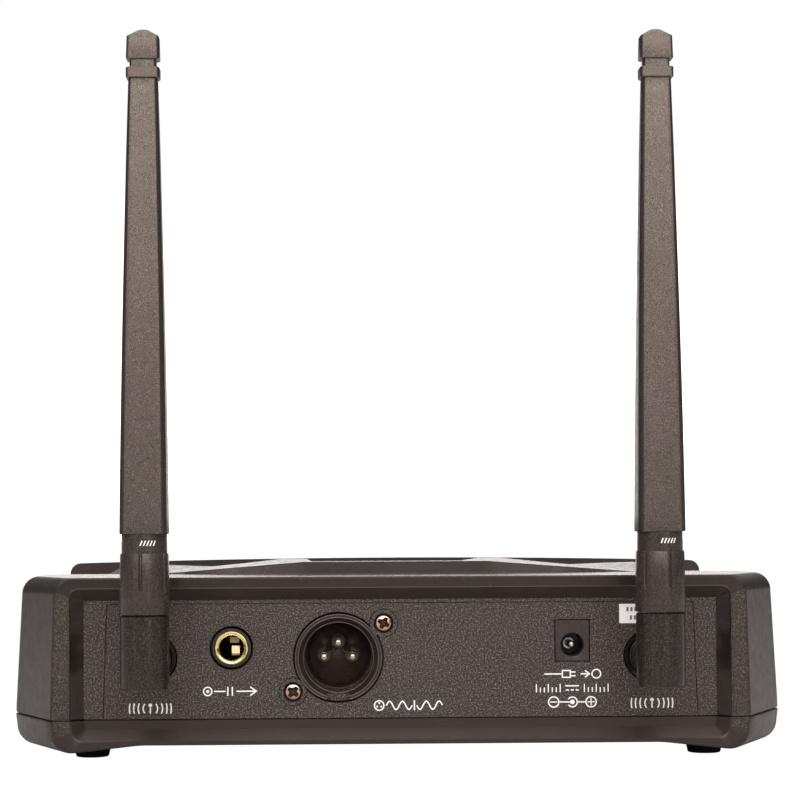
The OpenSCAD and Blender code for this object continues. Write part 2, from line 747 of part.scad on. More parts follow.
module antenna_cap(s) {
    color(antenna_black) translate([s * antenna_x, rear_y - axis_d, neck_z]) {
        translate([0, 0, -2.9]) linear_extrude(3) square([4.9, 2.3], center = true);
        linear_extrude(neck_h + eps) square([6.8, 4.2], center = true);
        translate([0, 0, neck_h]) hull() {
            linear_extrude(slice) square([8.6, 5.7], center = true);
            translate([0, 0, cap_h - 1.95]) linear_extrude(slice) square([8.2, 5.3], center = true);
            translate([0, 0, cap_h - slice]) linear_extrude(slice) square([1.7, 1.2], center = true);
        }
    }
}

module antenna_element(s) {
    color(copper) translate([s * antenna_x, rear_y - axis_d, band_z - 1.5]) cylinder(h = whip_h + band_h - 8, d = 2.2);
}

module power_button() {
    color([0.10, 0.10, 0.11]) union() {
        rod(power_x, knob_z, front_d - front_plate - 1.2, front_plate + 2.7, power_dia);
        rod(power_x, knob_z, front_d - front_plate - 1.3, 1.2, power_dia + 1.8);
        rod(power_x, knob_z, face_board_d + 8, 4, 4);
    }
}

module power_switch() {
    color([0.85, 0.85, 0.82]) block(power_x - 4, power_x + 4, knob_z - 4, knob_z + 4, face_board_d + 1.6, face_board_d + 6.7);
}

module volume_knob(s) {
    color([0.08, 0.08, 0.09]) difference() {
        union() {
            rod(s * knob_x, knob_z, knob_d0, 2, knob_dia + 1);
            taper(s * knob_x, knob_z, knob_d0 + 2, knob_len - 3, knob_dia - 0.6, knob_dia - 2);
            taper(s * knob_x, knob_z, knob_d0 + knob_len - 1, 1, knob_dia - 2, knob_dia - 4);
        }
        rod(s * knob_x, knob_z, knob_d0 - 1, 9, shaft_dia + 0.02);
        for (i = [0:23]) translate([s * knob_x, 0, knob_z]) rotate([0, i * 15, 0])
            rod(0, (knob_dia - 0.2) / 2, knob_d0 + 2.5, knob_len - 4, 1.0);
        block(s * knob_x - 0.4, s * knob_x + 0.4, knob_z + 2, knob_z + knob_dia, knob_d0 + knob_len - 0.5, knob_d0 + knob_len + 1);
    }
}

module volume_pots() {
    color(steel) for (s = [-1, 1]) difference() {
        union() {
            block(s * knob_x - 5.5, s * knob_x + 5.5, knob_z - 6, knob_z + 6, face_board_d + 1.6, face_board_d + 8.5);
            rod(s * knob_x, knob_z, face_board_d + 8, front_d - 0.8 - face_board_d - 8, 7);
        }
        rod(s * knob_x, knob_z, face_board_d + 4, 20, shaft_dia + 2 * running_gap);
    }
}

module pot_shaft(s) {
    color(steel) rod(s * knob_x, knob_z, face_board_d + 4.2, knob_d0 + 7.5 - face_board_d - 4.2, shaft_dia);
}

module tact_switches() {
    color([0.10, 0.10, 0.10]) for (i = [-1:1]) union() {
        block(i * key_pitch - 3, i * key_pitch + 3, key_z - 2.4, key_z + 3, face_board_d + 1.6, face_board_d + 5.2);
        rod(i * key_pitch, key_z, face_board_d + 5, 1.2, 3);
    }
}

module key(i) {
    x = i * key_pitch;
    stem_d = face_board_d + 7;
    color([0.12, 0.12, 0.13]) union() {
        plate(front_d - front_plate - 0.9, front_d + 1.2) round_rect(x - 5, x + 5, key_z - 2.2, key_z + 2.2, 1.2);
        block(x - 5.8, x + 5.8, key_z - 2.2, key_z + 3, front_d - front_plate - 1.2, front_d - front_plate - 0.1);
        rod(x, key_z, stem_d, front_d - front_plate - 1.1 - stem_d, 2.6);
    }
}

// Plain white sticker with nothing printed on it
module rating_label() {
    color([0.93, 0.93, 0.92]) plate(panel_d - 0.12, panel_d) round_rect(-70.6, -58.5, 35.3, 41.2, 0.4);
}

top_cover();
bottom_cover();
rear_panel();
front_panel();
rubber_feet();
cover_screws();
main_board();
board_screws();
display_board();
display_screws();
lcd_module();
display_window();
ir_window();
led_lenses();
ribbon_cable();
rf_shields();
main_chips();
capacitors();
voltage_regulator();
xlr_shell();
xlr_insert();
xlr_pins();
xlr_screws();
phone_jack_body();
phone_jack_bushing();
phone_jack_contacts();
dc_jack_housing();
dc_jack_pin();
dc_jack_contacts();
antenna_jacks();
jack_washers();
jack_insulators();
jack_contacts();
antenna_plug(-1);  // antenna_plug_a
antenna_plug(1);  // antenna_plug_b
antenna_elbow(-1);  // antenna_elbow_a
antenna_elbow(1);  // antenna_elbow_b
antenna_collar(-1);  // antenna_collar_a
antenna_collar(1);  // antenna_collar_b
antenna_band(-1);  // antenna_band_a
antenna_band(1);  // antenna_band_b
antenna_whip(-1);  // antenna_whip_a
antenna_whip(1);  // antenna_whip_b
antenna_cap(-1);  // antenna_cap_a
antenna_cap(1);  // antenna_cap_b
antenna_element(-1);  // antenna_element_a
antenna_element(1);  // antenna_element_b
power_button();
power_switch();
volume_knob(-1);  // volume_knob_a
volume_knob(1);  // volume_knob_b
volume_pots();
pot_shaft(-1);  // pot_shaft_a
pot_shaft(1);  // pot_shaft_b
tact_switches();
key(-1);  // key_down
key(0);  // key_set
key(1);  // key_up
rating_label();
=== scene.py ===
"""Wireless microphone receiver seen from behind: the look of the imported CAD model."""
import json
import math

import bmesh
import bpy
from mathutils import Matrix, Vector


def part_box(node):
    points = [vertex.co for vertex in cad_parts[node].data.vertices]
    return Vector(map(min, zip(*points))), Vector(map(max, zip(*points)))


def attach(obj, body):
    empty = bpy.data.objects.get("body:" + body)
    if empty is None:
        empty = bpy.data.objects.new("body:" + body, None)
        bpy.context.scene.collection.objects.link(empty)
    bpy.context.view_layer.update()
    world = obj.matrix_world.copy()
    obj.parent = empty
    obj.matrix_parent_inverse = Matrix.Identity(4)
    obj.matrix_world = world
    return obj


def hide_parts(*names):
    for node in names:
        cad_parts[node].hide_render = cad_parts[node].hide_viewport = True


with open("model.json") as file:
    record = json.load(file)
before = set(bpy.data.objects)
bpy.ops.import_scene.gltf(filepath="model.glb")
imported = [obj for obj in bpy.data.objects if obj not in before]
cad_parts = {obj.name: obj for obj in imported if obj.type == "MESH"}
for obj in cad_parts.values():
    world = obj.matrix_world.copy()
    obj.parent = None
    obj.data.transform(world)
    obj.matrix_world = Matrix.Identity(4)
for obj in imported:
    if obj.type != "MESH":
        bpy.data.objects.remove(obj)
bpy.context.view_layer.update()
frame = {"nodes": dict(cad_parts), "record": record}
MM = 0.001
ROOT = "receiver"
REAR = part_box("bottom_cover")[1].y / MM

# ---------------------------------------------------------------- measures, in mm
SPLIT = 11.55
TOP = 48.9
TOP_FALL = 1.9
LEVEL_D = 48
FLARE_D = 27
CASE_D = 150
# Half width, side draft and corner radius of the casing at its rear rim, and forwards of the flare
RIM_HALF, RIM_DRAFT, RIM_R = 91.9, 0.9, 4.6
WIDE_HALF, WIDE_DRAFT, WIDE_R = 105.2, 1.7, 4.8
BASE, BASE_R, BELLY = 3.0, 5.2, 4.9
WALL = 2.2
PANEL_D = 3.0
SPLIT_GAP, SPLIT_LIP = 0.12, 0.3
# The rear recess: half width, ceiling and floor of the rim's edge, the sloped strip and the panel's hole
RIM_IN, RIM_CEILING, RIM_FLOOR = 86.8, 45.7, 6.2
STRIP_IN, STRIP_CEILING, STRIP_FLOOR = 83.6, 42.9, 8.9
HOLE_IN, HOLE_CEILING = 78.62, 41.93
FOOT_X, FOOT_DEPTHS, FOOT_SEAT_R = 83.5, (22, 134), 5.6
SCREW_X, SCREW_DEPTHS, SCREW_SEAT_R, SCREW_HOLE_R = 92, (44, 118), 3.5, 2.1
ANT_X, ANT_Z, ANT_D = 65.8, 27.5, -16.1
COLLAR_FOOT_R, COLLAR_TOP_R, GROOVE_HALF = 6.425, 6.175, 0.42
BAND_R = 5.8
RING_H, CAP_H = 2.8, 7.8

# ---------------------------------------------------------------- values that materials and lights share
METAL_GRAIN, METAL_DEPTH = 0.25, 0.002
# A Mix node's colour sockets, by number, because its sockets for other kinds have the same names
COLOUR_A, COLOUR_B, COLOUR_OUT = 6, 7, 2
DARK_ROOM, OVERHEAD = 0.06, 1.75
WARM_SHEEN = (1.0, 0.88, 0.81, 1.0)
WARM_LIGHT = (1.0, 0.945, 0.91)


def lerp(a, b, t):
    return a + (b - a) * t


def at(x, d, z):
    """A point from its x, its depth forwards from the rear rim, and its height."""
    return Vector((x * MM, (REAR - d) * MM, z * MM))


# ---------------------------------------------------------------- materials
def new_material(name):
    mat = bpy.data.materials.new(name)
    mat.use_nodes = True
    tree = mat.node_tree
    bsdf = tree.nodes["Principled BSDF"]
    return mat, tree, bsdf


def noise(tree, scale, detail=2.0, rough=0.5, stretch=None):
    node = tree.nodes.new("ShaderNodeTexNoise")
    node.inputs["Scale"].default_value = scale
    node.inputs["Detail"].default_value = detail
    node.inputs["Roughness"].default_value = rough
    source = object_coords(tree)
    if stretch:
        mapping = tree.nodes.new("ShaderNodeMapping")
        mapping.inputs["Scale"].default_value = stretch
        tree.links.new(source, mapping.inputs["Vector"])
        source = mapping.outputs["Vector"]
    tree.links.new(source, node.inputs["Vector"])
    return node.outputs["Fac"]


def object_coords(tree):
    for node in tree.nodes:
        if node.type == "TEX_COORD":
            return node.outputs["Object"]
    return tree.nodes.new("ShaderNodeTexCoord").outputs["Object"]


def ramp(tree, value, low, high, a, b):
    """Maps value in low..high to the colours or greys a..b."""
    node = tree.nodes.new("ShaderNodeValToRGB")
    colour = [c if hasattr(c, "__len__") else (c, c, c) for c in (a, b)]
    for stop, pos, c in zip(node.color_ramp.elements, (low, high), colour):
        stop.position = pos
        stop.color = (*c, 1)
    tree.links.new(value, node.inputs["Fac"])
    return node.outputs["Color"]


def bump(tree, bsdf, height, distance):
    node = tree.nodes.new("ShaderNodeBump")
    node.inputs["Strength"].default_value = 1.0
    node.inputs["Distance"].default_value = distance
    tree.links.new(height, node.inputs["Height"])
    tree.links.new(node.outputs["Normal"], bsdf.inputs["Normal"])


def shade(c, k):
    return tuple(min(1.0, v * k) for v in c)


def plastic(name, colour, rough, grain_mm, grain_depth_mm, vary=0.12, painted_glint=0.0, ior=1.46):
    """Moulded plastic or rubber: patchy tint, and a grain of the given size and depth, with painted
    highlights on its tips and painted shade in its hollows.
    """
    mat, tree, bsdf = new_material(name)
    patch = noise(tree, 55, 4, 0.6)
    tint = ramp(tree, patch, 0.3, 0.7, shade(colour, 1 - vary), shade(colour, 1 + vary))
    grain = noise(tree, 1000 / grain_mm, 2.5, 0.62)
    bsdf.inputs["Specular Tint"].default_value = WARM_SHEEN
    # Paler grain tips are painted highlights and the darkened hollows are painted shade
    if painted_glint:
        tips = tuple(painted_glint * c for c in WARM_SHEEN[:3])
        tint = blend_colour(tree, "ADD", tint, ramp(tree, grain, 0.50, 0.74, 0.0, tips))
        tint = blend_colour(tree, "MULTIPLY", tint, ramp(tree, grain, 0.30, 0.52, 0.45, 1.0))
    tree.links.new(tint, bsdf.inputs["Base Color"])
    scuff = noise(tree, 400, 5, 0.65)
    tree.links.new(ramp(tree, scuff, 0.3, 0.75, rough - 0.06, rough + 0.08), bsdf.inputs["Roughness"])
    bsdf.inputs["IOR"].default_value = ior
    bump(tree, bsdf, grain, grain_depth_mm * MM)
    return mat


def blend_colour(tree, kind, a, b):
    mix = tree.nodes.new("ShaderNodeMix")
    mix.data_type = "RGBA"
    mix.blend_type = kind
    mix.inputs["Factor"].default_value = 1.0
    tree.links.new(a, mix.inputs[COLOUR_A])
    tree.links.new(b, mix.inputs[COLOUR_B])
    return mix.outputs[COLOUR_OUT]


def metal(name, colour, rough, brushed=None):
    """Metal with a patchy tint and a fine grain, which brushed stretches along one axis."""
    mat, tree, bsdf = new_material(name)
    bsdf.inputs["Metallic"].default_value = 1.0
    tint = ramp(tree, noise(tree, 300, 3, 0.6), 0.3, 0.7, shade(colour, 0.86), shade(colour, 1.08))
    tree.links.new(tint, bsdf.inputs["Base Color"])
    grain = noise(tree, 1000 / METAL_GRAIN, 2, 0.5, stretch=brushed)
    tree.links.new(ramp(tree, grain, 0.3, 0.7, rough * 0.75, rough * 1.25), bsdf.inputs["Roughness"])
    bump(tree, bsdf, grain, METAL_DEPTH * MM)
    return mat


MAT = {
    "smooth": plastic("case_smooth", (0.026, 0.020, 0.018), 0.34, 0.22, 0.006),
    "top": plastic("case_top", (0.026, 0.020, 0.018), 0.22, 0.30, 0.0006),
    # The recess walls' darker base colour is painted shade
    "recess": plastic("recess_wall_painted_shade", (0.014, 0.011, 0.010), 0.20, 0.30, 0.002),
    "grain": plastic("case_grain", (0.022, 0.017, 0.015), 0.34, 0.42, 0.22, painted_glint=0.22),
    "rim_grain": plastic("rim_grain", (0.024, 0.019, 0.017), 0.36, 0.40, 0.16, painted_glint=0.12),
    "front": plastic("front_face", (0.030, 0.025, 0.023), 0.34, 0.12, 0.004),
    "rubber": plastic("foot_rubber", (0.014, 0.013, 0.012), 0.70, 0.20, 0.02),
    "antenna": plastic("antenna_sanded", (0.104, 0.081, 0.071), 0.32, 0.22, 0.035, painted_glint=0.24),
    # The aerials' darker flank colour is painted shade
    "antenna_flank_shade": plastic("antenna_flank_shade", (0.024, 0.019, 0.017), 0.36, 0.22, 0.02, painted_glint=0.04),
    "collar": plastic("collar_sanded", (0.028, 0.022, 0.0195), 0.28, 0.26, 0.025, painted_glint=0.09),
    "elbow": plastic("elbow_gloss", (0.011, 0.0085, 0.0075), 0.20, 0.28, 0.03, painted_glint=0.075),
    "dark": plastic("dark_plastic", (0.012, 0.010, 0.009), 0.34, 0.15, 0.005),
    "satin": plastic("socket_plastic", (0.020, 0.0155, 0.014), 0.17, 0.3, 0.002),
    "sheen": plastic("socket_rib", (0.045, 0.036, 0.033), 0.14, 0.3, 0.001, ior=1.9),
    # The insert's pale base colour is painted light in the deep well
    "socket": plastic("socket_insert_painted_light", (0.085, 0.063, 0.055), 0.24, 0.3, 0.004),
    # The dark colour in the screws' cross recesses is painted shade
    "pit": plastic("driver_recess_painted_shade", (0.030, 0.018, 0.012), 0.55, 0.3, 0.004),
    "moulded": plastic("jack_plastic", (0.036, 0.029, 0.026), 0.36, 0.3, 0.008, painted_glint=0.02),
    "grey_ink": plastic("grey_ink", (0.16, 0.16, 0.16), 0.5, 0.08, 0.001, vary=0.05),
    "black": plastic("black_plastic", (0.012, 0.011, 0.011), 0.45, 0.2, 0.01),
    "board": plastic("board_green", (0.02, 0.12, 0.06), 0.35, 0.5, 0.01),
    "ivory": plastic("ivory_plastic", (0.62, 0.60, 0.54), 0.4, 0.3, 0.004),
    "cap_blue": plastic("sleeve_blue", (0.02, 0.035, 0.12), 0.3, 0.4, 0.004),
    "cable": plastic("cable_grey", (0.5, 0.5, 0.5), 0.5, 0.3, 0.01),
    "paper": plastic("label_paper", (0.97, 0.97, 0.97), 0.55, 0.1, 0.003, vary=0.02),
    "ink": plastic("white_ink", (0.95, 0.94, 0.92), 0.5, 0.08, 0.001, vary=0.03),
    "steel": metal("steel", (0.56, 0.56, 0.57), 0.3),
    "tin": metal("tinned_sheet", (0.62, 0.63, 0.64), 0.32, brushed=(1, 8, 1)),
    "copper": metal("copper_plating", (0.66, 0.45, 0.33), 0.20),
    "spring": metal("spring_strip", (0.34, 0.27, 0.17), 0.30),
    "bronze": metal("bronze_washer", (0.110, 0.095, 0.088), 0.20, brushed=(1, 1, 5)),
    "gold": metal("gilt", (0.98, 0.80, 0.42), 0.15),
    "nickel": metal("nickel", (0.50, 0.45, 0.40), 0.28),
    "knob": plastic("knob_black", (0.022, 0.021, 0.021), 0.34, 0.15, 0.006),
    "lens": plastic("lens_frosted", (0.62, 0.60, 0.52), 0.22, 0.3, 0.002),
    "ir": plastic("ir_window", (0.035, 0.004, 0.006), 0.08, 0.5, 0.001),
}


def glass_material():
    mat, tree, bsdf = new_material("window_tint")
    tint = ramp(tree, noise(tree, 30, 3), 0.3, 0.7, (0.010, 0.012, 0.014), (0.016, 0.018, 0.02))
    tree.links.new(tint, bsdf.inputs["Base Color"])
    bsdf.inputs["Coat Weight"].default_value = 1.0
    smear = ramp(tree, noise(tree, 90, 5, 0.65), 0.35, 0.8, 0.04, 0.12)
    tree.links.new(smear, bsdf.inputs["Roughness"])
    return mat


MAT["window"] = glass_material()


def paint_light_upwards(mat, low, high, base):
    """Paints light on a material, paler upwards: base times its colour at low, its full colour at high, in
    metres.
    """
    tree = mat.node_tree
    bsdf = tree.nodes["Principled BSDF"]
    axes = tree.nodes.new("ShaderNodeSeparateXYZ")
    tree.links.new(object_coords(tree), axes.inputs[0])
    link = bsdf.inputs["Base Color"].links[0]
    fade = ramp(tree, axes.outputs["Z"], low, high, base, 1.0)
    pale = blend_colour(tree, "MULTIPLY", link.from_socket, fade)
    tree.links.new(pale, bsdf.inputs["Base Color"])


# The aerials' paler tops are painted light from above
paint_light_upwards(MAT["antenna"], 0.06, 0.17, 0.55)


# ---------------------------------------------------------------- mesh helpers
def new_object(name, bm):
    bmesh.ops.recalc_face_normals(bm, faces=bm.faces)
    mesh = bpy.data.meshes.new(name)
    bm.to_mesh(mesh)
    bm.free()
    obj = bpy.data.objects.new(name, mesh)
    bpy.context.scene.collection.objects.link(obj)
    return obj


def cut_out(obj, cutters):
    """Cuts the closed meshes out of a piece, for good."""
    tools = [new_object("cutter", bm) for bm in cutters]
    for tool in tools:
        mod = obj.modifiers.new("cut", "BOOLEAN")
        mod.object, mod.operation, mod.solver = tool, "DIFFERENCE", "EXACT"
    seen = obj.evaluated_get(bpy.context.evaluated_depsgraph_get())
    cut = bpy.data.meshes.new_from_object(seen)
    obj.modifiers.clear()
    obj.data = cut
    for tool in tools:
        bpy.data.objects.remove(tool)


def make(name, bm, mats, body=ROOT, replaces=(), slot=None, smooth=35, bevel=0.0, cuts=()):
    """Turns a mesh into a piece that rides on a body. Edges sharper than smooth, in degrees, stay crisp."""
    obj = new_object(name, bm)
    for m in mats if isinstance(mats, (list, tuple)) else [mats]:
        obj.data.materials.append(MAT[m])
    if cuts:
        cut_out(obj, cuts)
    obj.data.shade_smooth()
    if bevel:
        round_edges(obj, bevel)
    obj.data.set_sharp_from_angle(angle=math.radians(smooth))
    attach(obj, body)
    if replaces:
        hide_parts(*replaces)


def round_edges(obj, width):
    mod = obj.modifiers.new("edge", "BEVEL")
    mod.width = width * MM
    mod.segments = 2
    mod.limit_method = "ANGLE"
    mod.angle_limit = math.radians(32)


def add_loft(bm, rows, close_rows=False, close_cols=False):
    """Quads between rows of points. Returns the rows of vertices."""
    grid = [[bm.verts.new(p) for p in row] for row in rows]
    pairs = list(zip(grid, grid[1:])) + ([(grid[-1], grid[0])] if close_rows else [])
    for a, b in pairs:
        n = len(a)
        for i in range(n if close_cols else n - 1):
            j = (i + 1) % n
            bm.faces.new((a[i], a[j], b[j], b[i]))
    return grid


def add_solid(bm, rows):
    """A closed solid through rings of points."""
    grid = add_loft(bm, rows, close_cols=True)
    bm.faces.new(grid[0][::-1])
    bm.faces.new(grid[-1])


def lathe(profile, centre, axis="z", n=48, bm=None):
    """Turns (radius, distance along axis) pairs about an axis. axis "d" runs forwards in depth."""
    bm = bm or bmesh.new()
    rows = []
    for r, h in profile:
        row = []
        for i in range(n):
            a = 2 * math.pi * i / n
            u, v = r * math.cos(a), r * math.sin(a)
            across, along = centre[0] + u, centre[1] + v
            row.append(at(across, along, h) if axis == "z" else at(across, h, along))
        rows.append(row)
    add_solid(bm, rows)
    return bm


def dress(node, mats, body=ROOT, bevel=0.15, slot=None, paint=None, reshape=None, merge_faces=True):
    """A cleaned and edge-rounded copy of a CAD node that stands for it.

    paint gives a face's material from its middle, and reshape moves a point. Both work in mm.
    """
    source = frame["nodes"][node]
    bm = bmesh.new()
    bm.from_mesh(source.data)
    bmesh.ops.remove_doubles(bm, verts=bm.verts, dist=2e-6)
    if merge_faces:
        bmesh.ops.dissolve_limit(bm, angle_limit=math.radians(0.6), verts=bm.verts, edges=bm.edges)
    if reshape:
        for vert in bm.verts:
            vert.co = reshape(vert.co / MM) * MM
    for face in bm.faces:
        face.material_index = paint(face.calc_center_median() / MM) if paint else 0
    make("look_" + node, bm, mats, body, (node,), slot, smooth=30, bevel=bevel)


# ---------------------------------------------------------------- casing shells
# Columns of the top: their x at the rear rim, at the relief's rear face and at the front, then their height
# above the base at the rear face, and their z at the crest and at the front. None means level with the base.
COLS_RIM = [0, 12, 24.8, 25.6, 26.4, 28.5, 42, 54, 60, 64, 68, 72, 77]
COLS_REAR = [0, 12, 24.8, 25.6, 26.0, 28.5, 45, 60, 66, 67.6, 68.5, 69.6, 84]
COLS_FRONT = [0, 12, 24.8, 25.5, 26.6, 33.5, 45, 55, 67, 74, 82.3, 85.9, 92]
RISE_REAR = [3.3, 3.3, 3.3, 3.3, 3.3, 3.1, 1.82, 0.66, 0.19, 0.07, 0, 0, 0]
Z_CREST = [51.6, 51.6, 51.6, 52.4, 52.6, 52.55, 51.3, 50.35, 50.9, 51.05, 50.1, None, None]
Z_FRONT = [50.9, 50.9, 50.9, 50.95, 51.0, 50.9, 50.0, 49.2, 49.6, 49.6, 48.7, None, None]
FACE_D, CREST_D = 45, 85
ARC_N = 22
# A small crease angle, in degrees, keeps the facets of the shallow relief on the top apart
RELIEF_CREASE = 4.6


def base_top(d):
    return TOP - TOP_FALL * max(0.0, d - LEVEL_D) / (CASE_D - LEVEL_D)


def case_size(d):
    k = min(d / FLARE_D, 1.0)
    return lerp(RIM_HALF, WIDE_HALF, k), lerp(RIM_DRAFT, WIDE_DRAFT, k), lerp(RIM_R, WIDE_R, k)


def top_half(d, half, draft, r, top, raised=False, inset=0.0):
    """Half of a top-cover outline, from the middle of the top to the split line, as (x, depth, z)."""
    half, top, r = half - inset, top - inset, max(r - inset, 0.25)
    arc_x, arc_z = half - draft - r, top - r
    if d < FACE_D:
        k = max(0.0, d) / FACE_D
        cols = [lerp(a, b, k) for a, b in zip(COLS_RIM, COLS_REAR)]
    else:
        k = min(1.0, (d - FACE_D) / (CREST_D - FACE_D))
        cols = [lerp(a, b, k) for a, b in zip(COLS_REAR, COLS_FRONT)]
    limit = arc_x - 1.5
    over = max(0.0, cols[-1] - limit)
    cols = [c - over * (c / cols[-1]) ** 2 for c in cols]
    pts = []
    for i, x in enumerate(cols):
        z = top
        if raised:
            base = base_top(d)
            low = base + RISE_REAR[i]
            crest = Z_CREST[i] if Z_CREST[i] else base
            front = Z_FRONT[i] if Z_FRONT[i] else base
            if d <= CREST_D:
                z = lerp(low, crest, (d - FACE_D) / (CREST_D - FACE_D))
            else:
                z = lerp(crest, front, (d - CREST_D) / (CASE_D - CREST_D))
        pts.append((x, d, z))
    for i in range(ARC_N + 1):
        a = math.radians(90 - 90 * i / ARC_N)
        pts.append((arc_x + r * math.cos(a), d, arc_z + r * math.sin(a)))
    for k in (0.35, 0.7, 0.93):
        pts.append((lerp(half - draft, half, k), d, lerp(arc_z, SPLIT, k)))
    return pts


def with_edge(pts, sign=1):
    """Ends a half outline at the split line with a small rounded lip."""
    x, d, _ = pts[-1]
    edge = [(0.02, SPLIT_GAP + SPLIT_LIP), (-0.06, SPLIT_GAP + SPLIT_LIP * 0.3), (-SPLIT_LIP, SPLIT_GAP)]
    return pts + [(x + out, d, SPLIT + sign * up) for out, up in edge]


def mirrored(half):
    return [at(-x, d, z) for x, d, z in reversed(half[1:])] + [at(x, d, z) for x, d, z in half]


def blend_half(a, b, k, d):
    return [(lerp(p[0], q[0], k), d, lerp(p[2], q[2], k)) for p, q in zip(a, b)]


def paint_shell(bm, tags, per_row, mats, look_of):
    """Gives the faces of each row their material, by the row's tag and the face's place across the row."""
    bm.faces.ensure_lookup_table()
    for k, tag in enumerate(tags):
        for i in range(per_row):
            away = abs(i + 0.5 - (per_row + 1) // 2)
            bm.faces[k * per_row + i].material_index = mats.index(look_of(tag, away))


def close_ends(bm, grid, material):
    """Closes the thickness of a shell along its split line."""
    for end in (0, -1):
        bm.faces.new([row[end] for row in grid]).material_index = material


def build_top_shell():
    halves, tags = [], []

    def add(half, tag):
        halves.append(with_edge(half))
        tags.append(tag)

    for d in (CASE_D, 118, CREST_D, 65, FACE_D + 0.6):
        add(top_half(d, *case_size(d), base_top(d), raised=True), "outside")
    lifted = top_half(FACE_D + 0.25, *case_size(FACE_D), base_top(FACE_D), raised=True)
    flat = top_half(FACE_D, *case_size(FACE_D), TOP)
    add([(p[0], FACE_D + 0.1, max(q[2], p[2] - 0.12)) for p, q in zip(lifted, flat)], "outside")
    add([(x, FACE_D - 0.3, z) for x, d, z in flat], "outside")
    for d in (36, FLARE_D + 0.8, FLARE_D - 0.8, 14, 5, 0.7):
        add(top_half(d, *case_size(d), TOP), "outside")
    outer = top_half(0, RIM_HALF, RIM_DRAFT, RIM_R, TOP)
    rim = top_half(0, RIM_IN, 0.0, 2.6, RIM_CEILING)
    strip = top_half(0, STRIP_IN, 0.0, 0.3, STRIP_CEILING)
    hole = top_half(0, HOLE_IN, 1.0, 1.12, HOLE_CEILING)
    add(blend_half(outer, rim, 0.03, 0.2), "rim")
    add(blend_half(outer, rim, 0.12, 0.0), "rim")
    add(blend_half(outer, rim, 0.84, 0.0), "rim")
    add(blend_half(outer, rim, 0.91, -0.18), "rim")
    add(blend_half(outer, rim, 0.95, -0.16), "slope")
    add(blend_half(outer, rim, 1.0, 0.10), "slope")
    add(blend_half(rim, strip, 0.1, 0.35), "slope")
    add(blend_half(rim, strip, 1.0, PANEL_D - 0.02), "strip")
    add(blend_half(strip, hole, 0.05, PANEL_D - 0.06), "strip")
    add(blend_half(strip, hole, 0.08, PANEL_D), "strip")
    add(blend_half(strip, hole, 0.99, PANEL_D), "strip")
    add(blend_half(strip, hole, 1.0, PANEL_D + 0.15), "inside")
    add(blend_half(strip, hole, 1.0, PANEL_D + WALL), "inside")
    for d in (PANEL_D + WALL, FLARE_D, CASE_D):
        add(top_half(d, *case_size(d), base_top(d), inset=WALL), "inside")
    bm = bmesh.new()
    grid = add_loft(bm, [mirrored(h) for h in halves], close_rows=True)
    mats = ["smooth", "rim_grain", "grain", "dark", "top", "recess"]

    def look_of(tag, away):
        off_side = away > ARC_N + len(COLS_RIM) - 3
        on_top = away < len(COLS_RIM) + 1
        # The side walls of the recess take the recess material, whose darker colour is painted shade
        return {"outside": "top" if on_top else "smooth", "rim": "rim_grain" if off_side else "top",
                "slope": "recess" if off_side else "smooth", "strip": "grain", "inside": "dark"}[tag]

    paint_shell(bm, tags, len(grid[0]) - 1, mats, look_of)
    close_ends(bm, grid, mats.index("dark"))
    make("shell_top", bm, mats, replaces=("top_cover",), slot="casing", smooth=RELIEF_CREASE)


BOTTOM_COLS = [0, 30, 60, 67.5, 68.6, 70, 75, 80, 84.8, 86.2]


def bottom_half(d, half, r, base, belly, slope=True, inset=0.0):
    half, base, belly, r = half - inset, base + inset, belly + inset, max(r - inset, 0.25)
    arc_x, arc_z = half - 0.4 - r, base + r
    over = max(0.0, BOTTOM_COLS[-1] - (arc_x - 0.05))
    cols = [c - over * (c / BOTTOM_COLS[-1]) ** 2 for c in BOTTOM_COLS]
    rise = [1, 1, 1, 1, 0.98, 0.93, 0.64, 0.35, 0.07, 0]
    pts = [(x, d, lerp(base, belly, k) if slope else base) for x, k in zip(cols, rise)]
    for i in range(ARC_N + 1):
        a = math.radians(-90 + 90 * i / ARC_N)
        pts.append((arc_x + r * math.cos(a), d, arc_z + r * math.sin(a)))
    for k in (0.4, 0.85):
        pts.append((lerp(half - 0.4, half, k), d, lerp(arc_z, SPLIT - 0.5, k)))
    return pts


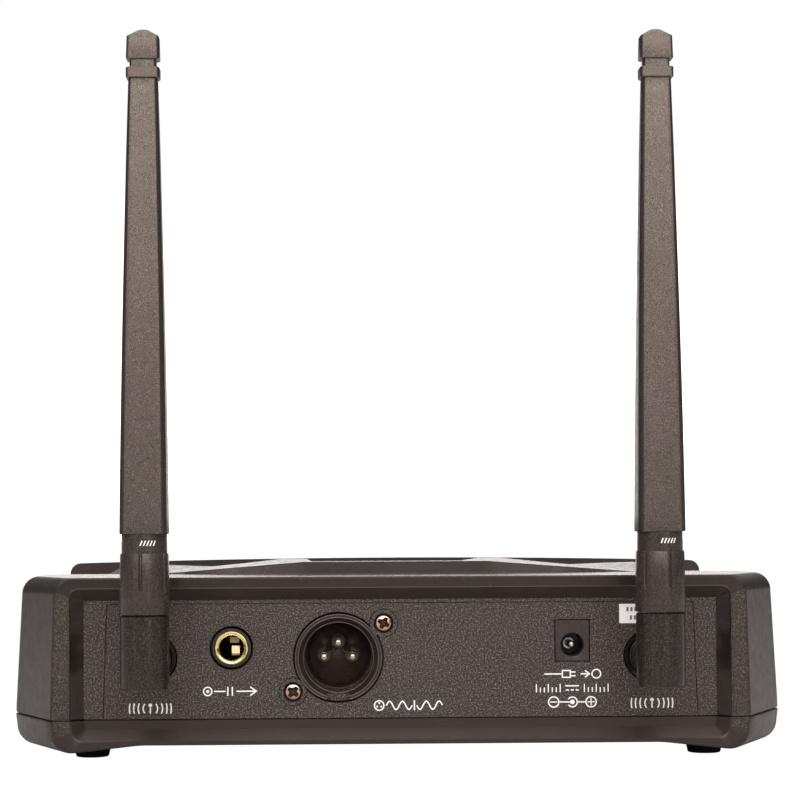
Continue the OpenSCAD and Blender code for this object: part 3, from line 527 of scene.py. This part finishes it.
def build_bottom_shell():
    halves, tags = [], []

    def add(half, tag):
        halves.append(with_edge(half, -1))
        tags.append(tag)

    for d in (CASE_D, 90, FLARE_D + 0.8, FLARE_D - 0.8, 14, 5, 0.8):
        add(bottom_half(d, case_size(d)[0], BASE_R, BASE, BELLY), "outside")
    outer = bottom_half(0, RIM_HALF, BASE_R, BASE, BELLY)
    rim = bottom_half(0, RIM_IN, 2.6, RIM_FLOOR, RIM_FLOOR, slope=False)
    strip = bottom_half(0, STRIP_IN, 0.3, STRIP_FLOOR, STRIP_FLOOR, slope=False)
    add(blend_half(outer, rim, 0.05, 0.25), "rim")
    add(blend_half(outer, rim, 0.18, 0.0), "rim")
    add(blend_half(outer, rim, 0.92, 0.0), "outside")
    add(blend_half(outer, rim, 1.0, 0.12), "outside")
    add(blend_half(rim, strip, 0.1, 0.35), "outside")
    add(blend_half(rim, strip, 0.97, PANEL_D - 0.08), "outside")
    add(blend_half(rim, strip, 1.0, PANEL_D), "outside")
    ledge_z = SPLIT - SPLIT_GAP
    ledge = [min(x, STRIP_IN - 0.4) for x, d, z in halves[-1]]
    for d, z, tag in ((PANEL_D, ledge_z - 0.25, "outside"), (PANEL_D + 0.25, ledge_z, "inside"),
                      (PANEL_D + WALL, ledge_z, "inside")):
        halves.append([(x, d, z) for x in ledge])
        tags.append(tag)
    for d in (PANEL_D + WALL, FLARE_D, CASE_D):
        add(bottom_half(d, case_size(d)[0], BASE_R, BASE, BELLY, inset=WALL), "inside")
    bm = bmesh.new()
    grid = add_loft(bm, [mirrored(h) for h in halves], close_rows=True)
    mats = ["smooth", "rim_grain", "dark"]

    def look_of(tag, away):
        off_side = away > ARC_N + len(BOTTOM_COLS) - 3
        return {"outside": "smooth", "rim": "rim_grain" if off_side else "smooth", "inside": "dark"}[tag]

    paint_shell(bm, tags, len(grid[0]) - 1, mats, look_of)
    close_ends(bm, grid, mats.index("dark"))
    cuts = []
    for s in (-1, 1):
        for d in FOOT_DEPTHS:
            cuts.append(lathe([(FOOT_SEAT_R, -1), (FOOT_SEAT_R, 4.4)], (s * FOOT_X, d), n=40))
        for d in SCREW_DEPTHS:
            cuts.append(lathe([(SCREW_SEAT_R, -1), (SCREW_SEAT_R, 5.8)], (s * SCREW_X, d), n=32))
            cuts.append(lathe([(SCREW_HOLE_R, 5), (SCREW_HOLE_R, 9)], (s * SCREW_X, d), n=24))
    make("shell_bottom", bm, mats, replaces=("bottom_cover",), slot="casing", smooth=24, cuts=cuts)


build_top_shell()
build_bottom_shell()


# ---------------------------------------------------------------- antennas
def ring_section(w, t, r, z, n=6, across=0):
    """A rounded rectangle w wide and t thick at height z, about the antenna's own axis."""
    r = min(r, 0.49 * w, 0.49 * t)
    pts = []
    for cx, cy, a0 in ((1, 1, 0), (-1, 1, 90), (-1, -1, 180), (1, -1, 270)):
        for i in range(n + 1):
            a = math.radians(a0 + 90 * i / n)
            pts.append((cx * (w / 2 - r) + r * math.cos(a), cy * (t / 2 - r) + r * math.sin(a), z))
        if cx == cy:
            x0 = cx * (w / 2 - r)
            pts.extend((lerp(x0, -x0, k / (across + 1)), cy * t / 2, z) for k in range(1, across + 1))
    return pts


def crowned_section(w, t, r, z):
    """The whip's section: a rounded slab whose broad faces bow out a little."""
    crown = 0.05 * t
    return [(px, py + math.copysign(crown * (1 - (2 * px / w) ** 2) - crown, py), z)
            for px, py, _ in ring_section(w, t, r, z, across=7)]


def stack(bm, x, sizes, section=ring_section):
    """A closed solid about the antenna's axis, through (width, thickness, corner radius, height) sections."""
    add_solid(bm, [[at(x + px, ANT_D - py, pz) for px, py, pz in section(*size)] for size in sizes])


def z_span(node):
    """The lowest and the highest point of a CAD node, in mm."""
    low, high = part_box(node)
    return low.z / MM, high.z / MM


def paint_flank_shade(bm):
    """Paints shade on the flanks and rounded corners of an aerial: they take the darker second material."""
    bmesh.ops.recalc_face_normals(bm, faces=bm.faces)
    for face in bm.faces:
        face.material_index = 1 if abs(face.normal.x) > 0.5 else 0


def build_elbow(tag, x, body):
    low, high = z_span("antenna_elbow_" + tag)
    profile = [(5.2, low), (5.85, low + 0.08), (6.15, low + 0.3), (6.25, low + 0.8), (6.25, low + 3),
               (6.25, high - 0.42), (6.2, high - 0.36), (5.88, high - 0.03), (5.8, high), (5.0, high)]
    bm = lathe(profile, (x, ANT_D), n=64)
    arm = [(5.3, ANT_D + 1), (5.3, ANT_D + 12.1), (5.2, ANT_D + 12.35), (4.95, ANT_D + 12.5)]
    lathe(arm, (x, ANT_Z), axis="d", bm=bm)
    make("elbow_" + tag, bm, "elbow", body, ("antenna_elbow_" + tag,), "antenna")


def build_collar(tag, x, body, phase):
    """The grip, with six grooves that are open at the top and hooked over at the foot."""
    low, high = z_span("antenna_elbow_" + tag)[1] + 0.2, z_span("antenna_collar_" + tag)[1]
    groove = low + 5.9
    levels = [(0.4, low), (0.1, low + 0.05), (0.0, low + 0.25), (0.0, groove - 1.0)]
    levels += [(0.0, groove + k * 0.13) for k in range(10)]
    levels += [(0.0, groove + 2.2), (0.0, high - 0.35), (0.12, high - 0.08), (0.45, high)]
    n, rows = 240, []
    for inset, z in levels:
        row = []
        grip = lerp(COLLAR_FOOT_R, COLLAR_TOP_R, (z - low) / (high - low))
        rise = (z - groove) / 0.9
        hook = 0.55 * (1 - min(1.0, max(0.0, rise))) ** 2
        open_up = min(1.0, max(0.0, rise * 2.2))
        for i in range(n):
            a = 2 * math.pi * i / n
            off = (math.degrees(a) - phase + 30) % 60 - 30
            across = abs(math.radians(off) * grip - hook)
            k = min(1.0, max(0.0, (GROOVE_HALF - across) / (0.45 * GROOVE_HALF)))
            r = grip - inset - 0.5 * k * open_up
            row.append(at(x + r * math.cos(a), ANT_D - r * math.sin(a), z))
        rows.append(row)
    bm = bmesh.new()
    add_solid(bm, rows)
    make("collar_" + tag, bm, "collar", body, ("antenna_collar_" + tag,), "antenna", smooth=28)


def build_band(tag, x, body):
    low, high = z_span("antenna_collar_" + tag)[1], z_span("antenna_whip_" + tag)[0]
    profile = [(5.3, low - 1.0), (BAND_R, low - 0.9), (BAND_R, high - 0.1), (5.7, high), (4.0, high + 0.5)]
    bm = lathe(profile, (x, ANT_D), n=64)
    make("band_" + tag, bm, "collar", body, ("antenna_band_" + tag,), "antenna")


def build_whip(tag, x, body):
    """The tapering slab, and the ring at its head."""
    low, high = z_span("antenna_whip_" + tag)
    seam = high - RING_H
    steps, sizes = 26, []
    for i in range(steps + 1):
        t = 1 - i / steps
        wide, thick = 7.45 + 7.25 * t - 2.6 * t * t, 4.6 + 6.4 * t
        sizes.append((wide, thick, min(0.28 * thick, 0.2 * wide) + 0.1, low + (seam - low) * i / steps))
    w, t, r, z = sizes[0]
    foot = [(w - 1.0, t - 1.0, r - 0.2, z), (w - 0.3, t - 0.3, r, z + 0.06), (w, t, r, z + 0.35)]
    w, t, r, z = sizes[-1]
    head = [(w, t, r, z - 0.2), (w - 0.25, t - 0.25, r, z), (w - 0.9, t - 0.8, r, z + 0.05)]
    bm = bmesh.new()
    stack(bm, x, foot + sizes[1:-1] + head, crowned_section)
    stack(bm, x, [(7.4, 4.6, 0.9, seam + 0.02), (8.25, 5.5, 1.0, seam + 0.05), (8.6, 5.8, 1.1, seam + 0.25),
                  (8.6, 5.8, 1.1, high - 0.25), (8.25, 5.5, 1.0, high - 0.05), (6.6, 4.0, 0.9, high)])
    paint_flank_shade(bm)
    make("whip_" + tag, bm, ["antenna", "antenna_flank_shade"], body, ("antenna_whip_" + tag,), "antenna")


def build_cap(tag, x, body):
    """The neck above the ring, and the cap with its four sloping faces."""
    neck, tip = z_span("antenna_whip_" + tag)[1], z_span("antenna_cap_" + tag)[1]
    low = tip - CAP_H
    bm = bmesh.new()
    stack(bm, x, [(6.8, 4.2, 0.9, neck - 0.4), (6.8, 4.2, 0.9, low + 0.1)])
    stack(bm, x, [(7.4, 4.8, 0.9, low), (8.4, 5.5, 1.0, low + 0.05), (8.55, 5.65, 1.1, low + 0.25),
                  (8.2, 5.25, 1.1, tip - 2.05), (8.05, 5.15, 1.1, tip - 1.85), (2.6, 1.8, 0.6, tip - 0.12),
                  (1.7, 1.2, 0.5, tip)])
    paint_flank_shade(bm)
    make("cap_" + tag, bm, ["antenna", "antenna_flank_shade"], body, ("antenna_cap_" + tag,), "antenna")


def build_antenna(tag, side, phase):
    """One antenna. phase turns its collar's grooves, in degrees."""
    x, body = side * ANT_X, "antenna_" + tag
    build_elbow(tag, x, body)
    build_collar(tag, x, body, phase)
    build_band(tag, x, body)
    build_whip(tag, x, body)
    build_cap(tag, x, body)
    dress("antenna_plug_" + tag, "nickel", body, slot="nickel", bevel=0.1)
    dress("antenna_element_" + tag, "copper", body, slot="copper", bevel=0)


build_antenna("b", 1, 85.3)
build_antenna("a", -1, 105.0)

# ---------------------------------------------------------------- CAD nodes with a finish and rounded edges
DRESS = {
    "rear_panel": ("grain", 0.06), "front_panel": ("front", 0.5), "rubber_feet": ("rubber", 0.25),
    "cover_screws": ("steel", 0.08), "main_board": ("board", 0), "board_screws": ("steel", 0),
    "display_board": ("board", 0), "display_screws": ("steel", 0), "lcd_module": ("tin", 0),
    "display_window": ("window", 0.2), "ir_window": ("ir", 0.15), "led_lenses": ("lens", 0.15),
    "ribbon_cable": ("cable", 0), "rf_shields": ("tin", 0), "main_chips": ("black", 0),
    "capacitors": ("cap_blue", 0.3), "voltage_regulator": ("black", 0), "xlr_pins": ("nickel", 0.2),
    "phone_jack_bushing": ("gold", 0.2), "dc_jack_housing": ("moulded", 0.22), "dc_jack_pin": ("steel", 0.05),
    "dc_jack_contacts": ("tin", 0), "antenna_jacks": ("bronze", 0.15), "jack_washers": ("bronze", 0.2),
    "jack_insulators": ("ivory", 0.1), "jack_contacts": ("gold", 0.05), "power_switch": ("ivory", 0),
    "volume_pots": ("tin", 0.1), "tact_switches": ("black", 0),
}
MOVED_BY_HAND = {"power_button": "power", "key_down": "key_down", "key_set": "key_set", "key_up": "key_up",
                 "volume_knob_a": "volume_a", "volume_knob_b": "volume_b"}
SLOT_OF = {part["node"]: part["material_slot"] for part in frame["record"]["subparts"]}
for node, (material, width) in DRESS.items():
    dress(node, material, bevel=width, slot=SLOT_OF[node])
for node, body in MOVED_BY_HAND.items():
    dress(node, "knob", body, bevel=0.25, slot=SLOT_OF[node])
for tag in "ab":
    dress("pot_shaft_" + tag, "nickel", "volume_" + tag, bevel=0.1, slot="nickel")

# ---------------------------------------------------------------- sockets and sticker
XLR_X, XLR_Z, XLR_FACE = 16.5, 27.5, 2.6
PHONE_X, PHONE_Z = 44.7, 30.2


def socket_paint(middle):
    """The two screw ears carry the panel's grain, the ring is smooth, and the well takes the paler insert
    colour, which is painted light.
    """
    away = math.hypot(middle.x - XLR_X, middle.z - XLR_Z)
    depth = REAR - middle.y
    notch = abs(middle.x - XLR_X) < 3.0 and middle.z < XLR_Z - 9 and 4.7 < depth < 4.9
    # The well's faces take the paler insert colour, painted light
    if away < 9.5 and depth > 4.2:
        return 2
    return 1 if away > 11.9 and depth < 4 or notch else 0


def slim_collar(p):
    """Narrows the jack body's round collar, so that a dark gap shows between it and the panel."""
    away = Vector((p.x - PHONE_X, 0, p.z - PHONE_Z))
    if 5.4 < away.length < 5.75:
        return p - away * (0.45 / away.length)
    return p


def bead(bm, r, d, half_gap, wide, high):
    """A fine rounded rib on the socket's ring, open at the polarising notch below."""
    rows, n = [], 96
    flank = -high * 0.8
    profile = [(-wide / 2, 0.05), (-wide / 4, flank), (0, -high), (wide / 4, flank), (wide / 2, 0.05)]
    for i in range(n + 1):
        a = math.radians(-90 + half_gap + (360 - 2 * half_gap) * i / n)
        rows.append([at(XLR_X + (r + u) * math.cos(a), d + v, XLR_Z + (r + u) * math.sin(a))
                     for u, v in profile])
    add_solid(bm, rows)


def build_socket_ribs():
    bm = bmesh.new()
    bead(bm, 10.62, XLR_FACE, 17.0, 0.36, 0.13)
    bead(bm, 11.35, XLR_FACE, 16.0, 0.30, 0.08)
    bead(bm, 9.3, XLR_FACE + 1.4, 1.0, 0.30, 0.14)
    make("socket_ribs", bm, "sheen", smooth=50)


dress("xlr_shell", ["satin", "grain", "socket"], bevel=0.34, slot=SLOT_OF["xlr_shell"], paint=socket_paint)
# The whole insert takes the paler colour, painted light
dress("xlr_insert", "socket", bevel=0, slot=SLOT_OF["xlr_insert"], merge_faces=False)
build_socket_ribs()
dress("phone_jack_body", "moulded", bevel=0.25, slot=SLOT_OF["phone_jack_body"], reshape=slim_collar)


def cross_cutter(x, z, head, turn):
    """The cross recess of a screw: four tapering arms, turned by some degrees."""
    arms, rows = ((1.72, -0.46), (1.72, 0.46), (0.68, 0.68)), []
    for d, k in ((head - 0.2, 1.08), (head + 0.1, 1.0), (head + 1.2, 0.5)):
        row = []
        for quarter in range(4):
            a = math.radians(turn + 90 * quarter)
            for u, v in arms:
                across, up = u * math.cos(a) - v * math.sin(a), u * math.sin(a) + v * math.cos(a)
                row.append(at(x + k * across, d, z + k * up))
        rows.append(row)
    cutter = bmesh.new()
    add_solid(cutter, rows)
    # The recess faces take the dark second material, a painted shade
    for face in cutter.faces:
        face.material_index = 1
    return cutter


def build_socket_screws():
    """Domed copper heads with a cross recess, whose dark colour is painted shade."""
    bm, cuts = bmesh.new(), []
    head = 3.15
    profile = [(0.6, head), (1.3, head + 0.08), (1.85, head + 0.26), (2.2, head + 0.5), (2.36, head + 0.85),
               (2.36, head + 1.6), (1.45, head + 1.7), (1.45, head + 4.6)]
    for s, turn in ((-1, 40), (1, 28)):
        x, z = XLR_X - s * 12, XLR_Z + s * 9
        lathe(profile, (x, z), axis="d", n=40, bm=bm)
        cuts.append(cross_cutter(x, z, head, turn))
    slot = SLOT_OF["xlr_screws"]
    make("socket_screws", bm, ["copper", "pit"], replaces=("xlr_screws",), slot=slot, cuts=cuts)


def bent_strip(bm, x0, x1, spine, thick=0.25):
    """A flat spring bent along (depth, z) points."""
    rows = []
    for d, z in spine:
        rows.append([at(x0, d, z), at(x1, d, z), at(x1, d + 0.02, z - thick), at(x0, d + 0.02, z - thick)])
    add_solid(bm, rows)


def build_phone_springs():
    """The two springs seen inside the jack: one below and right of the middle, one at the top."""
    bm = bmesh.new()
    lower = [(7.2, -1.9), (7.3, -1.5), (7.75, 0.35), (8.2, 0.45), (12, -0.4), (24, -2.4)]
    upper = [(6.2, 1.5), (6.35, 2.7), (24, 2.9)]
    for left, right, spine in ((-2.0, 0.1, lower), (-1.9, 0.5, upper)):
        bent_strip(bm, PHONE_X + left, PHONE_X + right, [(d, PHONE_Z + z) for d, z in spine])
    slot = SLOT_OF["phone_jack_contacts"]
    make("phone_springs", bm, "spring", replaces=("phone_jack_contacts",), slot=slot, smooth=30)


def build_label():
    """A small white sticker with grey ticks, no lettering."""
    left, right, low, high, cut = -70.6, -57.9, 36.1, 41.2, 0.1
    face_d = PANEL_D - 0.1
    outline = [(right, low + cut), (right, high - cut), (right - cut, high), (left + cut, high),
               (left, high - cut), (left, low + cut), (left + cut, low), (right - cut, low)]
    bm = bmesh.new()
    add_solid(bm, [[at(x, d, z) for x, z in outline] for d in (PANEL_D, face_d)])
    make("sticker", bm, "paper", replaces=("rating_label",), slot=SLOT_OF["rating_label"], smooth=30)
    bm = bmesh.new()
    tick = ((0.3, 0.55), (-0.3, 0.55), (-0.3, -0.55), (0.3, -0.55))
    for row, (z, count) in enumerate(((39.8, 4), (37.6, 3))):
        for k in range(count):
            x = -60.1 - 1.05 * k - 0.9 * row
            add_solid(bm, [[at(x + u, face_d - out, z + v) for u, v in tick] for out in (-0.01, 0.01)])
    make("sticker_ticks", bm, "grey_ink", smooth=30)


build_socket_screws()
build_phone_springs()
build_label()


# ---------------------------------------------------------------- printed marks: plain signs, no lettering
INK_WIDTH, FINE_INK, INK_HIGH, INK_RISE, INK_SINK = 0.34, 0.28, 2.6, 0.02, -0.01


def stroke(bm, pts, width=INK_WIDTH, closed=False, lay=None):
    """A thin raised line through (across, up) points, laid on the rear panel unless lay says where."""
    lay = lay or (lambda u, v, out: at(u, PANEL_D - out, v))
    rows, n = [], len(pts)
    for i, (u, v) in enumerate(pts):
        before = pts[i - 1] if i or closed else None
        after = pts[(i + 1) % n] if i < n - 1 or closed else None
        along = [Vector((b[0] - a[0], b[1] - a[1])).normalized()
                 for a, b in ((before, (u, v)), ((u, v), after)) if a and b]
        tangent = (along[0] + along[-1]).normalized()
        reach = 0.5 * width / max(0.5, tangent.dot(along[0]))
        side = Vector((-tangent.y, tangent.x)) * reach
        a, b = (u + side.x, v + side.y), (u - side.x, v - side.y)
        rows.append([lay(*a, INK_RISE), lay(*b, INK_RISE), lay(*b, INK_SINK), lay(*a, INK_SINK)])
    if closed:
        add_loft(bm, rows, close_rows=True, close_cols=True)
    else:
        add_solid(bm, rows)


def arc_points(u, v, r, a0, a1, n=14):
    turns = [math.radians(lerp(a0, a1, i / n)) for i in range(n + 1)]
    return [(u + r * math.cos(a), v + r * math.sin(a)) for a in turns]


def ring(bm, u, v, r):
    stroke(bm, arc_points(u, v, r, 0, 345, 23), closed=True)


def dot(bm, u, v, r):
    rim = arc_points(u, v, r, 0, 342, 19)
    rows = [[at(a, PANEL_D - out, b) for a, b in rim] for out in (INK_RISE, INK_SINK)]
    add_solid(bm, rows)


def wave_mark(bm, u, v):
    """An aerial: a mast with waves leaving it on both sides."""
    low, high = v - INK_HIGH / 2, v + INK_HIGH / 2
    stroke(bm, [(u, low), (u, high - 0.7)])
    dot(bm, u, high - 0.45, 0.5)
    for r, half in ((1.9, 40), (3.2, 25), (4.4, 18), (5.5, 14)):
        for side in (0, 180):
            stroke(bm, arc_points(u, v, r, side - half, side + half, 8))


def output_mark(bm, u, v):
    """A plug tip and an arrow that leaves a socket. The way out is towards smaller x."""
    ring(bm, u + 5.9, v, 1.1)
    dot(bm, u + 5.9, v, 0.42)
    stroke(bm, [(u + 4.2, v), (u + 1.2, v)])
    stroke(bm, [(u - 0.6, v + 1.2), (u - 0.6, v - 1.2)])
    stroke(bm, [(u + 0.6, v + 1.2), (u + 0.6, v - 1.2)])
    stroke(bm, [(u - 1.7, v), (u - 6.6, v)])
    stroke(bm, [(u - 5.3, v + 1.15), (u - 6.9, v), (u - 5.3, v - 1.15)])


def balanced_mark(bm, u, v):
    """A three-pin socket, then one wave and its mirror image."""
    ring(bm, u + 7.7, v, 1.25)
    for a in (90, 210, 330):
        dot(bm, u + 7.7 + 0.62 * math.cos(math.radians(a)), v + 0.62 * math.sin(math.radians(a)), 0.24)
    for middle, sign in ((u + 2.4, 1), (u - 5.6, -1)):
        stroke(bm, [(middle + 3.4 - 6.8 * k / 24, v + sign * 1.1 * math.sin(2 * math.pi * k / 12))
                    for k in range(25)])
    stroke(bm, [(u - 1.6, v + 1.3), (u - 1.6, v - 1.3)])


def supply_marks(bm, u, v):
    """Above the polarity sign: a plug going in, then the sign for direct current between two short scales."""
    top = v + 7.4
    stroke(bm, [(u + 7.4, top), (u + 2.6, top)])
    stroke(bm, [(u + 2.6, top + 1.1), (u + 2.6, top - 1.1)])
    stroke(bm, [(u + 2.6, top + 0.9), (u + 0.5, top + 0.9), (u + 0.5, top - 0.9), (u + 2.6, top - 0.9)])
    for off in (0.5, -0.5):
        stroke(bm, [(u + 0.4, top + off), (u - 0.9, top + off)])
    stroke(bm, [(u - 2.2, top), (u - 4.4, top)])
    stroke(bm, [(u - 3.4, top + 0.9), (u - 4.6, top), (u - 3.4, top - 0.9)])
    ring(bm, u - 6.4, top, 1.15)
    middle = v + 3.7
    stroke(bm, [(u + 1.8, middle + 0.55), (u - 1.8, middle + 0.55)])
    for k in (-1.3, 0.0, 1.3):
        stroke(bm, [(u + k + 0.4, middle - 0.55), (u + k - 0.4, middle - 0.55)])
    for side in (-1, 1):
        for k in range(7):
            tall = 1.2 if k % 3 == 0 else 0.7
            across, foot = u + side * (3.2 + 1.05 * k), middle - 1.1
            stroke(bm, [(across, foot), (across, foot + 1.8 * tall)], FINE_INK)
    for side in (-1, 1):
        ring(bm, u + side * 4.95, v, 1.36)
        stroke(bm, [(u + side * 3.6, v), (u + side * (1.45 if side < 0 else 0.5), v)])
        stroke(bm, [(u + side * 4.95 - 0.95, v), (u + side * 4.95 + 0.95, v)], FINE_INK)
    stroke(bm, [(u - 4.95, v + 0.95), (u - 4.95, v - 0.95)], FINE_INK)
    stroke(bm, arc_points(u, v, 1.3, 35, 325, 18))
    dot(bm, u, v, 0.62)


def build_marks():
    """The signs under the sockets, placed by (across, up) in mm, and the print on the antennas."""
    bm = bmesh.new()
    wave_mark(bm, 66.1, 14.4)
    wave_mark(bm, -66.4, 15.0)
    output_mark(bm, 45.1, 18.8)
    balanced_mark(bm, -1.9, 14.8)
    supply_marks(bm, -45.3, 15.4)
    make("print_rear", bm, "ink", smooth=30)
    build_band_print("b", ANT_X)
    build_band_print("a", -ANT_X)


def build_band_print(tag, x):
    """Five slanting ticks on an antenna's band."""
    def lay(u, v, out):
        a = u / BAND_R
        r = BAND_R + out
        return at(x - r * math.sin(a), ANT_D - r * math.cos(a), v)

    bm = bmesh.new()
    for k in range(5):
        u = -0.6 + 0.85 * k
        stroke(bm, [(u, 57.4), (u + 0.55, 58.7)], 0.3, lay=lay)
    make("print_band_" + tag, bm, "ink", "antenna_" + tag, smooth=30)


build_marks()


# ---------------------------------------------------------------- stage, light and camera
FLOOR_GLOW, GLOW_SHARE = 1.12, 0.9
CAMERA_YAW, CAMERA_PITCH, CAMERA_ROLL = 1.0, 1.5, 0.31
CAMERA_SPOT = (18.06, -537, 60.6)
LENS_MM, SHIFT_X, SHIFT_Y = 91.845, 0.04097, 0.09819


def floor_material():
    """A matt pale table that the camera sees nearly white."""
    mat, tree, bsdf = new_material("floor_white")
    tree.links.new(ramp(tree, noise(tree, 6, 2), 0.3, 0.7, 0.52, 0.56), bsdf.inputs["Base Color"])
    bsdf.inputs["Roughness"].default_value = 0.9
    lit = tree.nodes.new("ShaderNodeEmission")
    lit.inputs["Strength"].default_value = FLOOR_GLOW
    share = tree.nodes.new("ShaderNodeMath")
    share.operation = "MULTIPLY"
    share.inputs[1].default_value = GLOW_SHARE
    tree.links.new(tree.nodes.new("ShaderNodeLightPath").outputs["Is Camera Ray"], share.inputs[0])
    mix = tree.nodes.new("ShaderNodeMixShader")
    tree.links.new(share.outputs[0], mix.inputs["Fac"])
    tree.links.new(bsdf.outputs["BSDF"], mix.inputs[1])
    tree.links.new(lit.outputs["Emission"], mix.inputs[2])
    tree.links.new(mix.outputs["Shader"], tree.nodes["Material Output"].inputs["Surface"])
    return mat


def build_stage():
    bm = bmesh.new()
    add_loft(bm, [[Vector((x, y, 0.0)) for x in (-9, -3, 0, 3, 9)] for y in (6, 2, 0, -2, -14)])
    mesh = bpy.data.meshes.new("floor")
    bm.to_mesh(mesh)
    bm.free()
    mesh.materials.append(floor_material())
    floor = bpy.data.objects.new("floor", mesh)
    bpy.context.scene.collection.objects.link(floor)


def area_light(name, pos, target, size, power):
    light = bpy.data.lights.new(name, "AREA")
    light.shape = "RECTANGLE"
    light.size, light.size_y = size
    light.energy = power
    light.color = WARM_LIGHT
    obj = bpy.data.objects.new(name, light)
    obj.location = pos
    obj.rotation_euler = (Vector(target) - Vector(pos)).to_track_quat("-Z", "Y").to_euler()
    bpy.context.scene.collection.objects.link(obj)


def build_world():
    """Soft light from overhead and above the camera, a bright table edge, and a dark room all round."""
    world = bpy.data.worlds.new("studio")
    world.use_nodes = True
    tree = world.node_tree
    axes = tree.nodes.new("ShaderNodeSeparateXYZ")
    tree.links.new(tree.nodes.new("ShaderNodeTexCoord").outputs["Generated"], axes.inputs[0])

    def math_node(kind, a, b):
        node = tree.nodes.new("ShaderNodeMath")
        node.operation = kind
        for slot, value in zip(node.inputs, (a, b)):
            if isinstance(value, (int, float)):
                slot.default_value = value
            else:
                tree.links.new(value, slot)
        return node.outputs[0]

    def rise(value, from_a, from_b, to_a, to_b):
        node = tree.nodes.new("ShaderNodeMapRange")
        node.interpolation_type = "SMOOTHSTEP"
        for slot, number in zip(("From Min", "From Max", "To Min", "To Max"), (from_a, from_b, to_a, to_b)):
            node.inputs[slot].default_value = number
        tree.links.new(value, node.inputs["Value"])
        return node.outputs["Result"]

    lean = math_node("ADD", axes.outputs["Z"], math_node("MULTIPLY", axes.outputs["Y"], 0.35))
    tent = rise(lean, 0.30, 0.85, DARK_ROOM, OVERHEAD)
    low_down = rise(axes.outputs["Z"], 0.24, 0.12, 0.0, 1.9)
    far_side = rise(axes.outputs["Y"], -0.2, -0.7, 0.0, 1.0)
    sideways = math_node("ABSOLUTE", axes.outputs["X"], 0.0)
    near_middle = rise(sideways, 0.50, 0.28, 0.0, 1.0)
    table_edge = math_node("MULTIPLY", math_node("MULTIPLY", low_down, far_side), near_middle)
    light = math_node("MAXIMUM", tent, table_edge)
    seen = tree.nodes.new("ShaderNodeLightPath").outputs["Is Camera Ray"]
    back = tree.nodes["Background"]
    hue = tree.nodes.new("ShaderNodeMix")
    hue.data_type = "RGBA"
    hue.inputs[COLOUR_A].default_value = (*WARM_LIGHT, 1)
    hue.inputs[COLOUR_B].default_value = (1, 1, 1, 1)
    tree.links.new(seen, hue.inputs["Factor"])
    tree.links.new(hue.outputs[COLOUR_OUT], back.inputs["Color"])
    tree.links.new(math_node("MAXIMUM", light, seen), back.inputs["Strength"])
    bpy.context.scene.world = world


def build_camera():
    """The photograph's view: a long lens, low behind the rear panel, with its frame shifted up."""
    yaw, pitch, roll = (math.radians(a) for a in (CAMERA_YAW, CAMERA_PITCH, CAMERA_ROLL))
    cam = bpy.data.cameras.new("camera")
    cam.sensor_width = 36.0
    cam.lens = LENS_MM
    cam.shift_x, cam.shift_y = SHIFT_X, SHIFT_Y
    cam.clip_start, cam.clip_end = 0.05, 20
    obj = bpy.data.objects.new("camera", cam)
    look = Matrix.Rotation(math.pi - yaw, 4, "Z") @ Matrix.Rotation(math.pi / 2 + pitch, 4, "X")
    turn = look @ Matrix.Rotation(-roll, 4, "Z")
    obj.matrix_world = Matrix.Translation(at(*CAMERA_SPOT)) @ turn
    bpy.context.scene.collection.objects.link(obj)
    bpy.context.scene.camera = obj


build_stage()
build_world()
area_light("strip_right", (-0.55, 1.3, 0.42), (0, 0, 0.3), (0.16, 0.85), 1.1)
area_light("strip_left", (0.95, 1.05, 0.42), (0, 0, 0.3), (0.16, 0.85), 0.8)
area_light("high_key", (0.02, 0.85, 0.50), (0, 0, 0.16), (0.8, 0.22), 3.1)
build_camera()
view = bpy.context.scene.view_settings
view.view_transform = "Standard"
view.look = "None"
